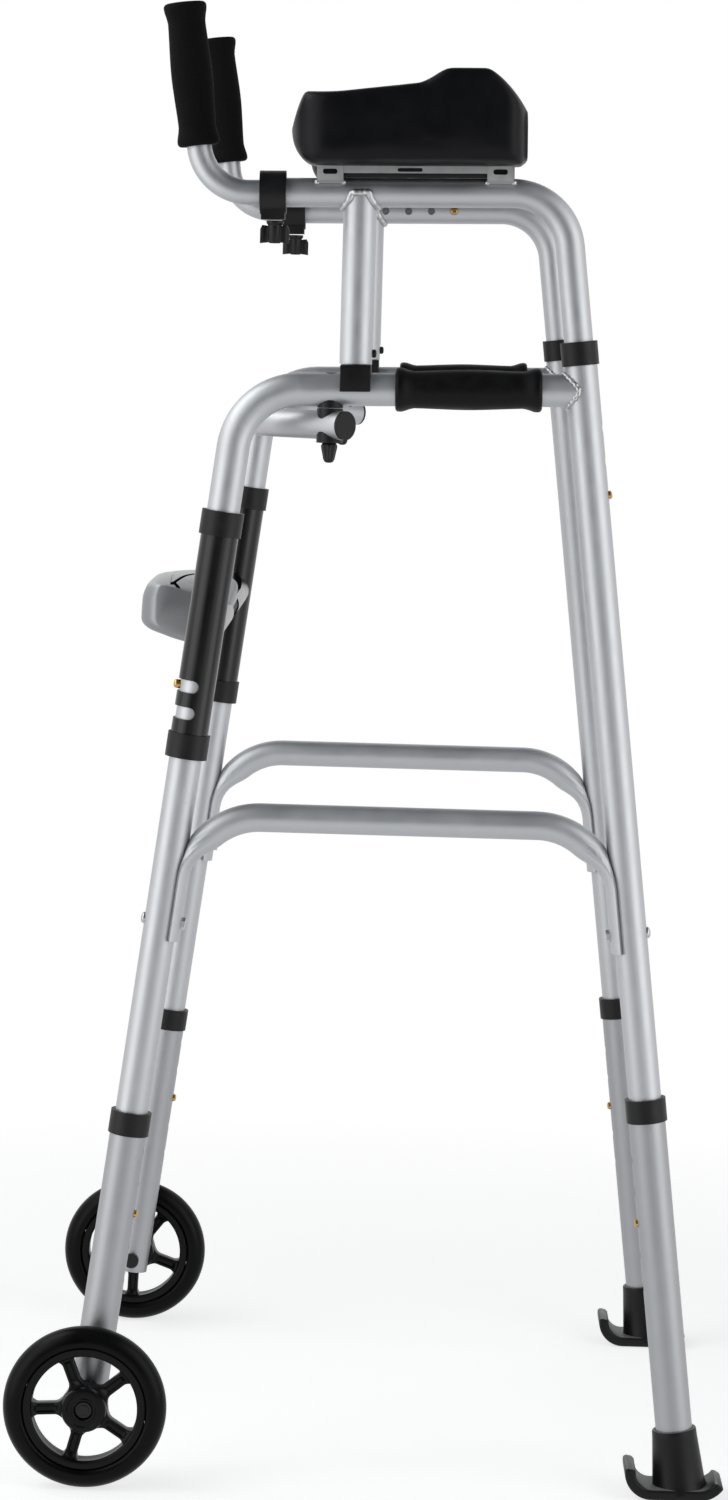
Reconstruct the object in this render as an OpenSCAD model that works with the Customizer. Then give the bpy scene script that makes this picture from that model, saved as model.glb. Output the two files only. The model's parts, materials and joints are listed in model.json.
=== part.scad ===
// Upright walker: a folding walking frame with two front wheels, rear glide feet, and a padded forearm
// support with a hand grip on each side.
// +Z is up, the wheels are at -Y, and the user's left side is at +X. The origin is on the floor.

/* [Stance] */
// Distance between the centre planes of the two side frames
frame_w = 504; // [470:2:560]
// Distance along the floor from the wheel axle to the rear leg's centre line
stance = 465; // [440:1:500]
// Lean of the front legs, top to the rear
front_lean = 7.3; // [6.5:0.1:8]
// Lean of the rear legs, top to the front
rear_lean = 6.9; // [6:0.1:7.5]
// Height of the handle's centre line where it meets the rear leg
handle_h = 858; // [845:1:890]
// Rise of the handle and the arm rail to the rear
rail_rise = 1.3; // [0:0.1:2]
// Height of the arm rail over the handle
rail_gap = 149; // [140:1:170]

/* [Tubes] */
// Outside diameter of the leg tubes and the post
leg_od = 25.4; // [25.4:0.2:26]
// Wall of every tube
tube_wall = 1.2; // [1:0.05:1.3]
// Gap on the radius between a tube and the tube that slides in it
slide_gap = 0.4; // [0.3:0.05:0.5]
// Gap on the radius where two pieces are seated
seat_gap = 0.1; // [0.05:0.05:0.2]
// Bend radius of the front tube
front_bend_r = 52; // [45:1:58]
// Bend radius of the arm rail
rail_bend_r = 44; // [36:1:50]

/* [Leg extensions] */
// Height of the front extension's top end
front_ext_top = 288; // [275:1:300]
// Height of the rear extension's top end
rear_ext_top = 310; // [295:1:320]
// Height of the front leg's snap button
front_button_z = 211.5; // [205:0.5:220]
// Height of the rear leg's snap button
rear_button_z = 216; // [205:0.5:220]
// Length of leg tube below its snap button
leg_tail = 24; // [20:1:28]
// Distance between two adjusting holes
hole_pitch = 25.4; // [25:0.1:26]
// Adjusting holes on each side of the snap button
hole_steps = 2; // [1:1:2]
// Length of a leg collar
collar_len = 18; // [14:1:22]
// Radial thickness of a leg collar over its tube
collar_t = 1.6; // [1.2:0.1:2.4]
// Length of front extension below the wheel axle
axle_margin = 11; // [9:0.5:14]

/* [Wheels] */
// Diameter of a wheel
wheel_d = 127; // [120:1:135]
// Width of a tyre
tyre_w = 24; // [20:1:26]
// Outside diameter of the rim, where the tyre sits
rim_d = 96; // [92:1:100]
// Inside diameter of the rim's ring
rim_in_d = 82; // [76:1:84]
// Width of the rim's ring
rim_w = 19; // [16:1:20]
// Diameter of the wheel's hub
hub_d = 35; // [30:1:38]
// Width of the wheel's hub
hub_w = 28; // [26:1:30]
// Number of spokes
spokes = 5; // [4:1:7]
// Width of a spoke
spoke_w = 9.5; // [7:0.5:11]
// Thickness of a spoke
spoke_t = 11; // [8:1:14]
// Diameter of the axle
axle_d = 8; // [6:0.5:9]
// Length of the spacer between leg and wheel
spacer_len = 3.5; // [2.5:0.5:5]
// Angle of the first spoke on the left wheel
left_spoke_angle = 39; // [0:1:71]
// Angle of the first spoke on the right wheel
right_spoke_angle = 52; // [0:1:71]

/* [Glide feet] */
// Width of the ski
ski_w = 44; // [38:1:48]
// Thickness of the ski
ski_t = 8.5; // [7:0.5:10]
// Outside radius of the curl at the ski's front
curl_r = 21.5; // [19:0.5:24]
// Turn of the curl
curl_turn = 100; // [80:1:105]
// Outside radius of the lip at the ski's rear
lip_r = 24; // [20:1:28]
// Turn of the lip
lip_turn = 58; // [45:1:65]
// Length of flat ski in front of the leg
ski_front = 23; // [20:1:28]
// Length of flat ski behind the leg
ski_rear = 13; // [10:1:18]
// Height of the socket's top
socket_h = 53; // [45:1:60]
// Outside diameter of the socket at its top
socket_top_d = 33.4; // [32.5:0.2:36]
// Outside diameter of the socket at the ski
socket_low_d = 40; // [37:0.5:42]
// Thickness of foot under the leg
foot_floor = 12; // [10:0.5:16]

/* [Side brace] */
// Outside diameter of the side brace
brace_od = 22.2; // [20:0.2:23]
// Height of the side brace's centre line
brace_h = 523; // [505:1:545]
// Bend radius of the side brace
brace_bend_r = 57; // [54:1:60]
// Length of straight brace lost to each bend, from the leg's centre line
brace_reach = 65; // [65:0.5:70]
// Thickness of the flattened brace end
brace_tab_t = 3.6; // [3:0.1:4.2]
// Angle that the flattened end wraps round the leg
brace_wrap = 110; // [90:5:130]
// Distance from the side brace's centre line down to its bolts
brace_bolt_drop = 82; // [77:1:88]
// Length of flattened end below its bolt
brace_tab_tail = 14; // [10:1:18]
// Diameter of a brace bolt
brace_bolt_d = 5; // [4:0.5:6]
// Diameter of a brace bolt's head
brace_head_d = 9; // [8:0.5:11]
// Height of a brace bolt's head
brace_head_t = 3; // [2:0.5:4]

/* [Handle grip] */
// Distance from the wheel axle to the grip's front end
grip_start = 218; // [214:1:222]
// Length of the handle grip
grip_len = 112; // [100:1:116]
// Diameter of the handle grip at its middle
grip_mid_d = 30.4; // [29:0.2:34]
// Diameter of the handle grip at its ends
grip_end_d = 33; // [31:0.2:38]

/* [Front brace] */
// Outside diameter of a sleeve
sleeve_od = 29; // [28.8:0.1:30]
// Height of a sleeve's lower end
sleeve_z = 570; // [560:1:585]
// Length of a sleeve
sleeve_len = 188; // [170:1:195]
// Outside diameter of a sleeve collar
sleeve_collar_d = 32.6; // [32:0.2:35]
// Length of a sleeve collar
sleeve_collar_len = 19; // [15:1:22]
// Height of the guide slot
slot_z = 623; // [618:1:628]
// Distance from the guide slot down to the second slot
slot_drop = 20.5; // [18:0.5:24]
// Width of a slot
slot_w = 9.6; // [8:0.2:11]
// Angle that a slot runs round the sleeve
slot_turn = 100; // [92:1:110]
// Diameter of the guide pin
guide_pin_d = 7; // [5:0.5:7.5]
// How far the guide pin stands out of the sleeve
guide_pin_out = 3; // [2:0.5:4]
// Height of the crossbar
crossbar_z = 667; // [660:1:674]
// Outside diameter of the crossbar
crossbar_od = 25.4; // [22:0.2:26]

/* [Hub] */
// Length of the hub across the walker
fold_hub_w = 124; // [116:1:150]
// Length of the hub from front to rear
fold_hub_l = 82; // [76:1:90]
// Height of the hub
fold_hub_h = 55; // [52:1:62]
// Distance from the crossbar forward to the hub's middle
fold_hub_shift = 26; // [22:1:28]
// Radius of the hub's upper edges
hub_edge_r = 11; // [8:1:13]
// Radius of the hub's lower front edge
hub_nose_r = 22; // [18:1:24]
// Width of the fold button
button_w = 54; // [44:1:58]
// Length of the fold button across the walker
button_l = 84; // [74:1:90]
// Gap round the fold button
button_gap = 1.6; // [1:0.1:2]
// Thickness of the fold button
button_t = 8; // [6:0.5:9]
// Travel of the fold button
button_travel = 5; // [3:0.5:5]
// Diameter of the fold button's stem
stem_d = 12; // [10:0.5:14]
// Diameter of a lock rod
rod_d = 9; // [7:0.5:10]

/* [Front bar] */
// Outside diameter of the front bar
bar_od = 22.2; // [20:0.2:23]
// Distance from the handle's centre line down to the bar's
bar_drop = 27.2; // [27:0.1:28]
// Distance from the wheel axle to the bar's bolts
bar_bolt_y = 168.7; // [166:0.1:169]
// Distance from the wheel axle to the bar's crossing stretch
bar_front_y = 113.5; // [110:0.5:118]
// Angle between the bar's ends and the walker's length
bar_end_angle = 42; // [38:1:46]
// Length of bar past its bolt, without the cap
bar_tail = 15; // [13:0.5:18]
// Thickness of a bar cap
bar_cap_t = 2; // [1.5:0.5:3]
// Bend radius of the front bar
bar_bend_r = 60; // [50:1:66]
// Diameter of a bar saddle
saddle_d = 20; // [18:0.5:22]
// How far a bar saddle reaches up the handle or down the bar
saddle_reach = 7; // [5:0.5:8]
// Diameter of a bar bolt
bar_bolt_d = 6; // [5:0.5:6.5]
// Diameter of a bar bolt's head
bar_head_d = 9; // [8.5:0.5:9.5]
// Height of a bar bolt's head over the handle
bar_head_h = 2.6; // [2:0.1:3]
// Gap between the two halves of a bar saddle
saddle_split = 0.5; // [0.4:0.1:0.7]
// Height of the thumb nut
thumb_h = 16; // [13:0.5:20]
// Diameter of the thumb nut at its top
thumb_d = 13; // [11:0.5:15]
// Diameter of the thumb nut at its tip
thumb_tip_d = 8.5; // [8:0.5:10]
// Ribs on the thumb nut
thumb_ribs = 8; // [6:1:10]

/* [Arm support] */
// Outside diameter of the arm rail
rail_od = 22.2; // [22.2:0.1:22.4]
// Distance from the wheel axle to the post
post_y = 187.5; // [187:0.5:190]
// Length of arm rail that reaches into the rear leg
rail_tail = 135; // [128:1:145]
// Height of the arm's snap button
arm_button_z = 777.5; // [774:0.5:782]
// Travel of the arm support up the rear leg
arm_travel = 50.8; // [40:0.2:52]
// Length of the saddle block along the handle
block_l = 23.4; // [22:0.2:24]
// Width of the saddle block
block_w = 34; // [32:0.5:38]
// Height of the saddle block over the handle's centre line
block_h = 19; // [18:0.5:22]
// How far the saddle block reaches below the handle's centre line
block_skirt = 1.6; // [1:0.1:3]
// Length of the stem inside the post
stem_len = 98; // [90:1:105]
// Height of the notch for the button at the foot of each post
post_notch = 13; // [12:0.5:16]
// Length of the bush at the rear leg's top
top_collar_len = 18; // [14:1:22]
// Length of rear leg above the handle's centre line
leg_head = 34; // [30:1:40]

/* [Arm pad] */
// Distance from the wheel axle to the pad's front
pad_start = 135.5; // [131:0.5:136]
// Length of the arm pad
pad_len = 178; // [176:1:182]
// Width of the arm pad
pad_w = 92; // [80:1:100]
// Height of the pad's underside over the rail's centre line
pad_lift = 20.5; // [17:0.5:22]
// Height of the pad at its front
pad_front_h = 56; // [48:1:60]
// Height of the pad before its raised rear
pad_mid_h = 65; // [58:1:68]
// Height of the pad's raised rear
pad_rear_h = 77; // [70:1:82]
// Depth of the hollow along the pad's top
pad_hollow = 9; // [5:0.5:12]
// How far the pad's sides draw in at mid height
pad_draw_in = 2; // [1:0.5:4]
// Width of the pad's bracket
bracket_w = 22; // [18:1:26]
// Thickness of the bracket's sheet
bracket_t = 2; // [1.5:0.1:2.5]
// Depth of the bracket's edges
bracket_edge = 6; // [4.5:0.5:6.5]
// Length of a welded tab
tab_l = 20; // [16:1:24]
// Length of the slot through each bracket tab
tab_slot_l = 11; // [8:0.5:13]
// Height of the slot through each bracket tab
tab_slot_h = 4; // [3:0.2:5]
// Distance from the pad's underside down to the tab slots
tab_slot_top = 2.8; // [2.6:0.2:4]

/* [Hand grips] */
// Outside diameter of the hand grip tube
stem_od = 19; // [18.8:0.1:19]
// Distance from the wheel axle to the tube's upright stretch, at the rail
stem_y = 68.4; // [60:0.2:72]
// Forward lean of the hand grip
stem_lean = 7.3; // [4:0.1:10]
// Bend radius of the hand grip tube
stem_bend_r = 38; // [32:1:42]
// Height of the foam grip's lower end over the rail's centre line
foam_z = 35; // [34:0.5:42]
// Length of the foam grip
foam_len = 108; // [96:1:116]
// How much further up its stem the right foam grip sits
right_foam_lift = 7; // [0:0.5:10]
// Diameter of the foam grip at its ends
foam_end_d = 34; // [31:0.5:37]
// Diameter of the foam grip at its waists
foam_waist_d = 28.6; // [27:0.2:30]
// Diameter of the foam grip at its middle
foam_mid_d = 31.4; // [29:0.2:33]
// Distance from the wheel axle to the hand grip's snap button
grip_button_y = 261.5; // [258:0.5:265]
// Distance between two holes in the arm rail
rail_pitch = 20; // [18:0.5:21]
// Steps that the hand grip slides forward
rail_steps = 3; // [1:1:3]
// Distance from the wheel axle to the middle of the clamp
clamp_y = 121; // [119:0.5:124]
// Length of the clamp
clamp_l = 20; // [16:0.5:22]
// Outside diameter of the clamp
clamp_d = 33; // [31:0.5:36]
// Distance from the rail's centre line to the clamp's foot
clamp_foot = 20.5; // [19:0.5:23]
// Width of the clamp's foot
clamp_foot_w = 18; // [14:0.5:20]
// Height of a wing knob
knob_h = 18; // [14:0.5:20]
// Span of a wing knob's lobes
knob_span = 22; // [18:0.5:26]
// Diameter of the clamp screw
screw_d = 6; // [5:0.5:6]

/* [Snap buttons] */
// Diameter of a snap button
snap_d = 6.4; // [5:0.2:6.6]
// How far a snap button stands out of its tube
snap_out = 2.6; // [2:0.1:3]
// Gap round a snap button in its hole
snap_gap = 0.3; // [0.2:0.05:0.4]
// Length of a snap button's spring leaf
leaf_len = 26; // [20:1:30]
// Width of a spring leaf
leaf_w = 8; // [6:0.5:8]
// Thickness of a spring leaf
leaf_t = 1.2; // [0.8:0.1:1.4]

/* [Hidden] */
$fn = 64;

silver = [0.76, 0.77, 0.79];
black = [0.07, 0.07, 0.08];
hub_grey = [0.55, 0.57, 0.59];
brass = [0.72, 0.53, 0.25];
eps = 0.5;
far_cut = 60;
bend_inset = 0.03;

// Tube sizes that follow from what slides in what
leg_bore = leg_od - 2 * tube_wall;
ext_bore = leg_od + 2 * slide_gap;
ext_od = ext_bore + 2 * tube_wall;
rail_bore = rail_od - 2 * tube_wall;
stem_bore = stem_od - 2 * tube_wall;
sleeve_bore = leg_od + 2 * slide_gap;

// Heights and distances along the walker, measured from the wheel axle
axle_h = wheel_d / 2;
leg_slope = tan(front_lean);
rear_slope = tan(rear_lean);
rise_slope = tan(rail_rise);
rear_handle_y = stance - handle_h * rear_slope;
front_corner_y = (handle_h - rear_handle_y * rise_slope - axle_h) * leg_slope
    / (1 - rise_slope * leg_slope);
rail_corner_y = (stance - (handle_h + rail_gap - rear_handle_y * rise_slope) * rear_slope)
    / (1 + rise_slope * rear_slope);
ski_back = stance + ski_rear + lip_r * sin(lip_turn);
mid_y = (ski_back - wheel_d / 2) / 2;
wheel_x = ext_od / 2 + spacer_len + hub_w / 2 + 0.2;

function unit(v) = v / norm(v);
function front_pt(z) = [0, (z - axle_h) * leg_slope, z];
function rear_pt(z) = [0, stance - z * rear_slope, z];
function handle_pt(y) = [0, y, handle_h - (rear_handle_y - y) * rise_slope];
function rail_pt(y) = handle_pt(y) + [0, 0, rail_gap];
front_up = [0, sin(front_lean), cos(front_lean)];
rear_up = [0, -sin(rear_lean), cos(rear_lean)];
rail_back = [0, cos(rail_rise), sin(rail_rise)];
stem_up = [0, -sin(stem_lean), cos(stem_lean)];

// Places a piece of one side frame, drawn about the frame's centre plane with +x outward
module on_side(side)
    translate([0, -mid_y, 0])
        mirror([side < 0 ? 1 : 0, 0, 0])
            translate([frame_w / 2, 0, 0]) children();

// Frames with z along the front leg, the rear leg, the handle and the arm rail, and y to the rear or down
module on_front(z) translate(front_pt(z)) rotate([-front_lean, 0, 0]) children();
module on_rear(z) translate(rear_pt(z)) rotate([rear_lean, 0, 0]) children();
module on_handle(y) translate(handle_pt(y)) rotate([rail_rise - 90, 0, 0]) children();
module on_rail(y) translate(rail_pt(y)) rotate([rail_rise - 90, 0, 0]) children();

// A round rod from a to b
module rod(a, b, d) {
    v = b - a;
    translate(a)
        rotate([0, acos(v.z / norm(v)), atan2(v.y, v.x)])
            cylinder(d = d, h = norm(v));
}

// Turn at corner q, and the distance from the corner to the start of its bend
function turn_at(p, q, s) = acos(unit(q - p) * unit(s - q));
function bend_reach(p, q, s, r) = r * tan(turn_at(p, q, s) / 2);

// The hollow bend at corner q between p and s; its wall lies just inside the wall of the straight tubes
module bend(p, q, s, r, d) {
    u = unit(q - p);
    w = unit(s - q);
    turn = turn_at(p, q, s);
    c = q + unit(w - u) * r / cos(turn / 2);
    x = unit(q - u * bend_reach(p, q, s, r) - c);
    z = cross(x, u);
    multmatrix([[x.x, u.x, z.x, c.x], [x.y, u.y, z.y, c.y], [x.z, u.z, z.z, c.z]])
        rotate_extrude(angle = turn) translate([r, 0])
            difference() {
                circle(d = d - 2 * bend_inset);
                circle(d = d - 2 * tube_wall + 2 * bend_inset);
            }
}

// A straight hollow tube from a to b
module straight(a, b, d)
    difference() {
        rod(a, b, d);
        rod(a - unit(b - a) * eps, b + unit(b - a) * eps, d - 2 * tube_wall);
    }

// A tube through the points with open ends, and with every corner bent to radius r
module bent_tube(pts, r, d) {
    last = len(pts) - 1;
    for (i = [0 : last - 1]) {
        u = unit(pts[i + 1] - pts[i]);
        from = i == 0 ? 0 : bend_reach(pts[i - 1], pts[i], pts[i + 1], r) - 1;
        to = i == last - 1 ? 0 : bend_reach(pts[i], pts[i + 1], pts[i + 2], r) - 1;
        straight(pts[i] + u * from, pts[i + 1] - u * to, d);
    }
    for (i = [1 : last - 1]) bend(pts[i - 1], pts[i], pts[i + 1], r, d);
}

// A ring about z
module ring(d_out, d_in, h)
    difference() {
        cylinder(d = d_out, h = h);
        translate([0, 0, -eps]) cylinder(d = d_in, h = h + 2 * eps);
    }

// A bush over a tube's end at z = 0: a skirt below and a lip above
module bush(d_out, tube_d, inner_d, len, lip)
    translate([0, 0, lip - len])
        difference() {
            cylinder(d = d_out, h = len);
            translate([0, 0, -eps]) cylinder(d = tube_d + 2 * seat_gap, h = len - lip + eps);
            translate([0, 0, -eps]) cylinder(d = inner_d + 2 * slide_gap, h = len + 2 * eps);
        }

// A snap button that points along +x through a tube of outside diameter d_out, on a leaf in a bore
module snap_button(d_out, bore) {
    leaf_r = sqrt(pow(bore / 2 - 0.25, 2) - pow(leaf_w / 2, 2));
    color(brass) {
        translate([leaf_r - eps, 0, 0]) rotate([0, 90, 0])
            cylinder(d = snap_d, h = d_out / 2 + snap_out - leaf_r + eps - snap_d / 6);
        translate([d_out / 2 + snap_out - snap_d / 6, 0, 0]) rotate([0, 90, 0])
            cylinder(d1 = snap_d, d2 = snap_d * 0.6, h = snap_d / 6);
        translate([leaf_r - leaf_t, -leaf_w / 2, -leaf_len / 2]) cube([leaf_t, leaf_w, leaf_len]);
    }
}

// A hole for a snap button, along +x
module snap_hole() rotate([0, 90, 0]) cylinder(d = snap_d + 2 * snap_gap, h = far_cut);

// Front brace

module sleeve_slot(z)
    on_front(z) {
        start = -90 - asin(slot_w / 2 / (sleeve_od / 2));
        rotate([0, 0, start]) rotate_extrude(angle = slot_turn)
            translate([leg_od / 2, -slot_w / 2]) square([sleeve_od, slot_w]);
        for (a = [start, start + slot_turn])
            rotate([0, 0, a]) rotate([0, 90, 0]) cylinder(d = slot_w - 0.2, h = sleeve_od);
    }

crossbar_inner = fold_hub_w / 2 - 16;

module front_brace()
    color(black)
        for (side = [-1, 1]) on_side(side)
            difference() {
                union() {
                    on_front(sleeve_z) cylinder(d = sleeve_od, h = sleeve_len);
                    translate(front_pt(crossbar_z)) rotate([0, -90, 0])
                        cylinder(d = crossbar_od, h = frame_w / 2 - crossbar_inner);
                }
                on_front(sleeve_z - 5) cylinder(d = sleeve_bore, h = sleeve_len + 10);
                translate(front_pt(crossbar_z) - [sleeve_od / 2 + 1, 0, 0]) rotate([0, -90, 0])
                    cylinder(d = crossbar_od - 2 * tube_wall, h = frame_w);
                translate(front_pt(crossbar_z)) rotate([0, -90, 0])
                    cylinder(d = rod_d + 2 * slide_gap, h = sleeve_od);
                sleeve_slot(slot_z);
                sleeve_slot(slot_z - slot_drop);
            }

module sleeve_collars()
    color(black)
        for (side = [-1, 1]) on_side(side) {
            lip = 2;
            on_front(sleeve_z) translate([0, 0, sleeve_len])
                bush(sleeve_collar_d, sleeve_od, leg_od, sleeve_collar_len, lip);
            on_front(sleeve_z) mirror([0, 0, 1])
                bush(sleeve_collar_d, sleeve_od, leg_od, sleeve_collar_len, lip);
        }

// Hub

hub_y = front_pt(crossbar_z).y - fold_hub_shift;
hub_top = crossbar_z + fold_hub_h / 2 + 3;
well_depth = button_t + button_travel + 1;
stem_shift = fold_hub_shift - 8;

module stadium(l, w, h)
    linear_extrude(h) {
        square([l - w, w], center = true);
        for (s = [-1, 1]) translate([s * (l - w) / 2, 0]) circle(d = w);
    }

module hub_shell()
    hull() {
        for (s = [-1, 1]) {
            x = s * fold_hub_w / 2;
            for (f = [-1, 1])
                translate([x - s * hub_edge_r, f * (fold_hub_l / 2 - hub_edge_r), hub_top - hub_edge_r])
                    sphere(r = hub_edge_r, $fn = 24);
            translate([x - s * hub_nose_r, hub_nose_r - fold_hub_l / 2, hub_top - fold_hub_h + hub_nose_r])
                sphere(r = hub_nose_r, $fn = 32);
            translate([x - s * hub_edge_r, fold_hub_l / 2 - hub_edge_r, hub_top - fold_hub_h + hub_edge_r])
                sphere(r = hub_edge_r, $fn = 24);
        }
    }

module hub_housing()
    color(hub_grey) translate([0, hub_y - mid_y, 0])
        difference() {
            hub_shell();
            translate([0, 0, hub_top - well_depth])
                stadium(button_l + 2 * button_gap, button_w + 2 * button_gap, well_depth + eps);
            for (s = [-1, 1])
                translate([s * crossbar_inner, fold_hub_shift, crossbar_z]) rotate([0, s * 90, 0])
                    cylinder(d = crossbar_od + 2 * seat_gap, h = fold_hub_w);
            translate([-fold_hub_w / 2, fold_hub_shift, crossbar_z]) rotate([0, 90, 0])
                cylinder(d = rod_d + 2 * slide_gap, h = fold_hub_w);
            translate([0, stem_shift, crossbar_z - rod_d])
                cylinder(d = stem_d + 2 * slide_gap, h = hub_top - well_depth + 1 - crossbar_z + rod_d);
        }

module fold_button()
    color(hub_grey) translate([0, hub_y - mid_y, 0]) {
        translate([0, 0, hub_top - button_t]) stadium(button_l, button_w, button_t);
        translate([0, stem_shift, crossbar_z + 5]) cylinder(d = stem_d, h = hub_top - crossbar_z - 5 - eps);
    }

// A lock rod inside the crossbar, with two guide discs, its tip just short of the leg
module lock_rod(side)
    color(silver) on_side(side) translate(front_pt(crossbar_z)) {
        tip = leg_od / 2 + 0.3;
        disc_d = crossbar_od - 2 * tube_wall - 2 * slide_gap;
        rod_end = frame_w / 2 - stem_d / 2 - button_travel - 2;
        translate([-tip, 0, 0]) rotate([0, -90, 0]) cylinder(d = rod_d, h = rod_end - tip);
        for (x = [sleeve_od / 2 + 3 + button_travel, frame_w / 2 - crossbar_inner - 12])
            translate([-x, 0, 0]) rotate([0, -90, 0]) cylinder(d = disc_d, h = 4);
    }

// Front bar

bar_z = handle_pt(bar_bolt_y).z - bar_drop;
split_z = (handle_pt(bar_bolt_y).z - leg_od / 2 + bar_z + bar_od / 2) / 2;
bar_dir = [sin(bar_end_angle), cos(bar_end_angle), 0];
bar_bolt = [frame_w / 2, bar_bolt_y, bar_z];
bar_corner = bar_bolt - bar_dir * (bar_bolt_y - bar_front_y) / bar_dir.y;
bar_low = bar_z - bar_od / 2;

function flip(p) = [-p.x, p.y, p.z];

bar_end = bar_bolt + bar_dir * bar_tail;
bar_path = [bar_end, bar_corner, flip(bar_corner), flip(bar_end)];

module front_bar()
    color(silver) translate([0, -mid_y, 0])
        difference() {
            bent_tube(bar_path, bar_bend_r, bar_od);
            for (p = [bar_bolt, flip(bar_bolt)])
                translate(p - [0, 0, bar_od]) cylinder(d = bar_bolt_d + 2 * seat_gap, h = 2 * bar_od);
        }

module bar_fittings()
    color(black)
        for (side = [-1, 1]) on_side(side) {
            at = [0, bar_bolt_y, bar_z];
            tail = at + bar_dir * bar_tail;
            bar_from = at - bar_dir * saddle_d;
            saddle_from = bar_z + bar_od / 2 - saddle_reach;
            // cap with its plug in the tube's end
            rod(tail, tail + bar_dir * bar_cap_t, bar_od);
            rod(tail - bar_dir * 4, tail, bar_od - 2 * tube_wall - 2 * seat_gap);
            difference() {
                translate([0, bar_bolt_y, saddle_from])
                    cylinder(d = saddle_d, h = split_z - saddle_split / 2 - saddle_from);
                rod(bar_from, at + bar_dir * saddle_d, bar_od + 2 * seat_gap);
                translate([0, bar_bolt_y, bar_z]) cylinder(d = bar_bolt_d + 2 * seat_gap, h = bar_od);
            }
            difference() {
                translate([0, bar_bolt_y, bar_low - 2.5]) cylinder(d = saddle_d, h = saddle_reach + 2.5);
                rod(bar_from, at + bar_dir * saddle_d, bar_od + 2 * seat_gap);
                translate([0, bar_bolt_y, bar_low - 5]) cylinder(d = bar_bolt_d + 2 * seat_gap, h = bar_od);
            }
            translate([0, bar_bolt_y, bar_low - 2.8 - thumb_h + 3])
                cylinder(d = bar_bolt_d, h = split_z - saddle_split / 2 - bar_low + 2.8 + thumb_h - 3);
        }

module thumb_nut(side)
    color(black) on_side(side) translate([0, bar_bolt_y, bar_low - 2.8 - thumb_h])
        difference() {
            union() {
                cylinder(d1 = thumb_tip_d, d2 = thumb_d - 2, h = thumb_h);
                for (i = [0 : thumb_ribs - 1]) rotate([0, 0, i * 360 / thumb_ribs])
                    translate([0, -0.9, thumb_h * 0.3]) cube([thumb_d / 2 - 0.6, 1.8, thumb_h * 0.7 - 1]);
            }
            translate([0, 0, 2]) cylinder(d = bar_bolt_d + 2 * slide_gap, h = thumb_h);
        }

// Side frame

front_path = [
    front_pt(front_button_z - leg_tail),
    [0, front_corner_y, handle_pt(front_corner_y).z],
    handle_pt(rear_handle_y)
];
rear_low = rear_button_z - leg_tail;
rear_top = handle_h + leg_head;

module front_tube(side)
    color(silver) on_side(side)
        difference() {
            bent_tube(front_path, front_bend_r, leg_od);
            on_rear(rear_low) cylinder(d = leg_od + 2 * seat_gap, h = rear_top);
            on_front(front_button_z) rotate([0, 0, 90]) snap_hole();
            on_front(slot_z) rotate([0, 0, -90]) rotate([0, 90, 0])
                cylinder(d = guide_pin_d + 2 * seat_gap, h = far_cut);
            on_front(brace_bolt_z) rotate([90, 0, 0])
                cylinder(d = brace_bolt_d + 2 * seat_gap, h = far_cut, center = true);
            translate([0, bar_bolt_y, bar_z]) cylinder(d = bar_bolt_d + 2 * seat_gap, h = far_cut);
        }

module rear_leg(side)
    color(silver) on_side(side)
        difference() {
            on_rear(rear_low) ring(leg_od, leg_bore, (rear_top - rear_low) / cos(rear_lean));
            on_rear(rear_button_z) rotate([0, 0, -90]) snap_hole();
            for (i = [0, 1, 2]) on_rear(arm_button_z + i * arm_travel / 2) rotate([0, 0, 90]) snap_hole();
            on_rear(brace_bolt_z) rotate([90, 0, 0])
                cylinder(d = brace_bolt_d + 2 * seat_gap, h = far_cut, center = true);
        }

// A grip's outline about z: a flared end, a waist, a fuller middle and a flared end
module grip_outline(len, bore, end_d, waist_d, mid_d) {
    end_l = 7;
    hi = end_d / 2;
    polygon([
        [bore / 2, 0],
        [hi - 2, 0],
        [hi, 2],
        [hi, end_l - 2],
        [waist_d / 2, end_l + 6],
        [mid_d / 2, len / 2],
        [waist_d / 2, len - end_l - 6],
        [hi, len - end_l + 2],
        [hi, len - 2],
        [hi - 2, len],
        [bore / 2, len]
    ]);
}

module handle_grip(side)
    color(black) on_side(side) on_handle(grip_start)
        rotate_extrude() grip_outline(
            grip_len, leg_od + 2 * seat_gap, grip_end_d, (grip_end_d + grip_mid_d) / 2 - 1.6, grip_mid_d
        );

// Side brace: a round crossing with two bends, each drawn out into a flat end that wraps its leg

brace_turn = 42;
brace_front_y = front_pt(brace_h).y + brace_reach;
brace_rear_y = rear_pt(brace_h).y - brace_reach;
brace_seat_r = leg_od / 2 + seat_gap;
brace_bolt_z = brace_h - brace_bolt_drop;

// A stretch of the brace's bend, from one angle to another
module brace_bend(end, from, to)
    translate([0, end < 0 ? brace_front_y : brace_rear_y, brace_h - brace_bend_r])
        mirror([0, end > 0 ? 1 : 0, 0]) rotate([0, -90, 0]) rotate([0, 0, -to])
            rotate_extrude(angle = to - from) translate([brace_bend_r, 0]) children();

// z along the leg from the brace bolt, and y toward the other leg
module at_brace_bolt(end) {
    if (end < 0) on_front(brace_bolt_z) children();
    else on_rear(brace_bolt_z) rotate([0, 0, 180]) children();
}

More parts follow.
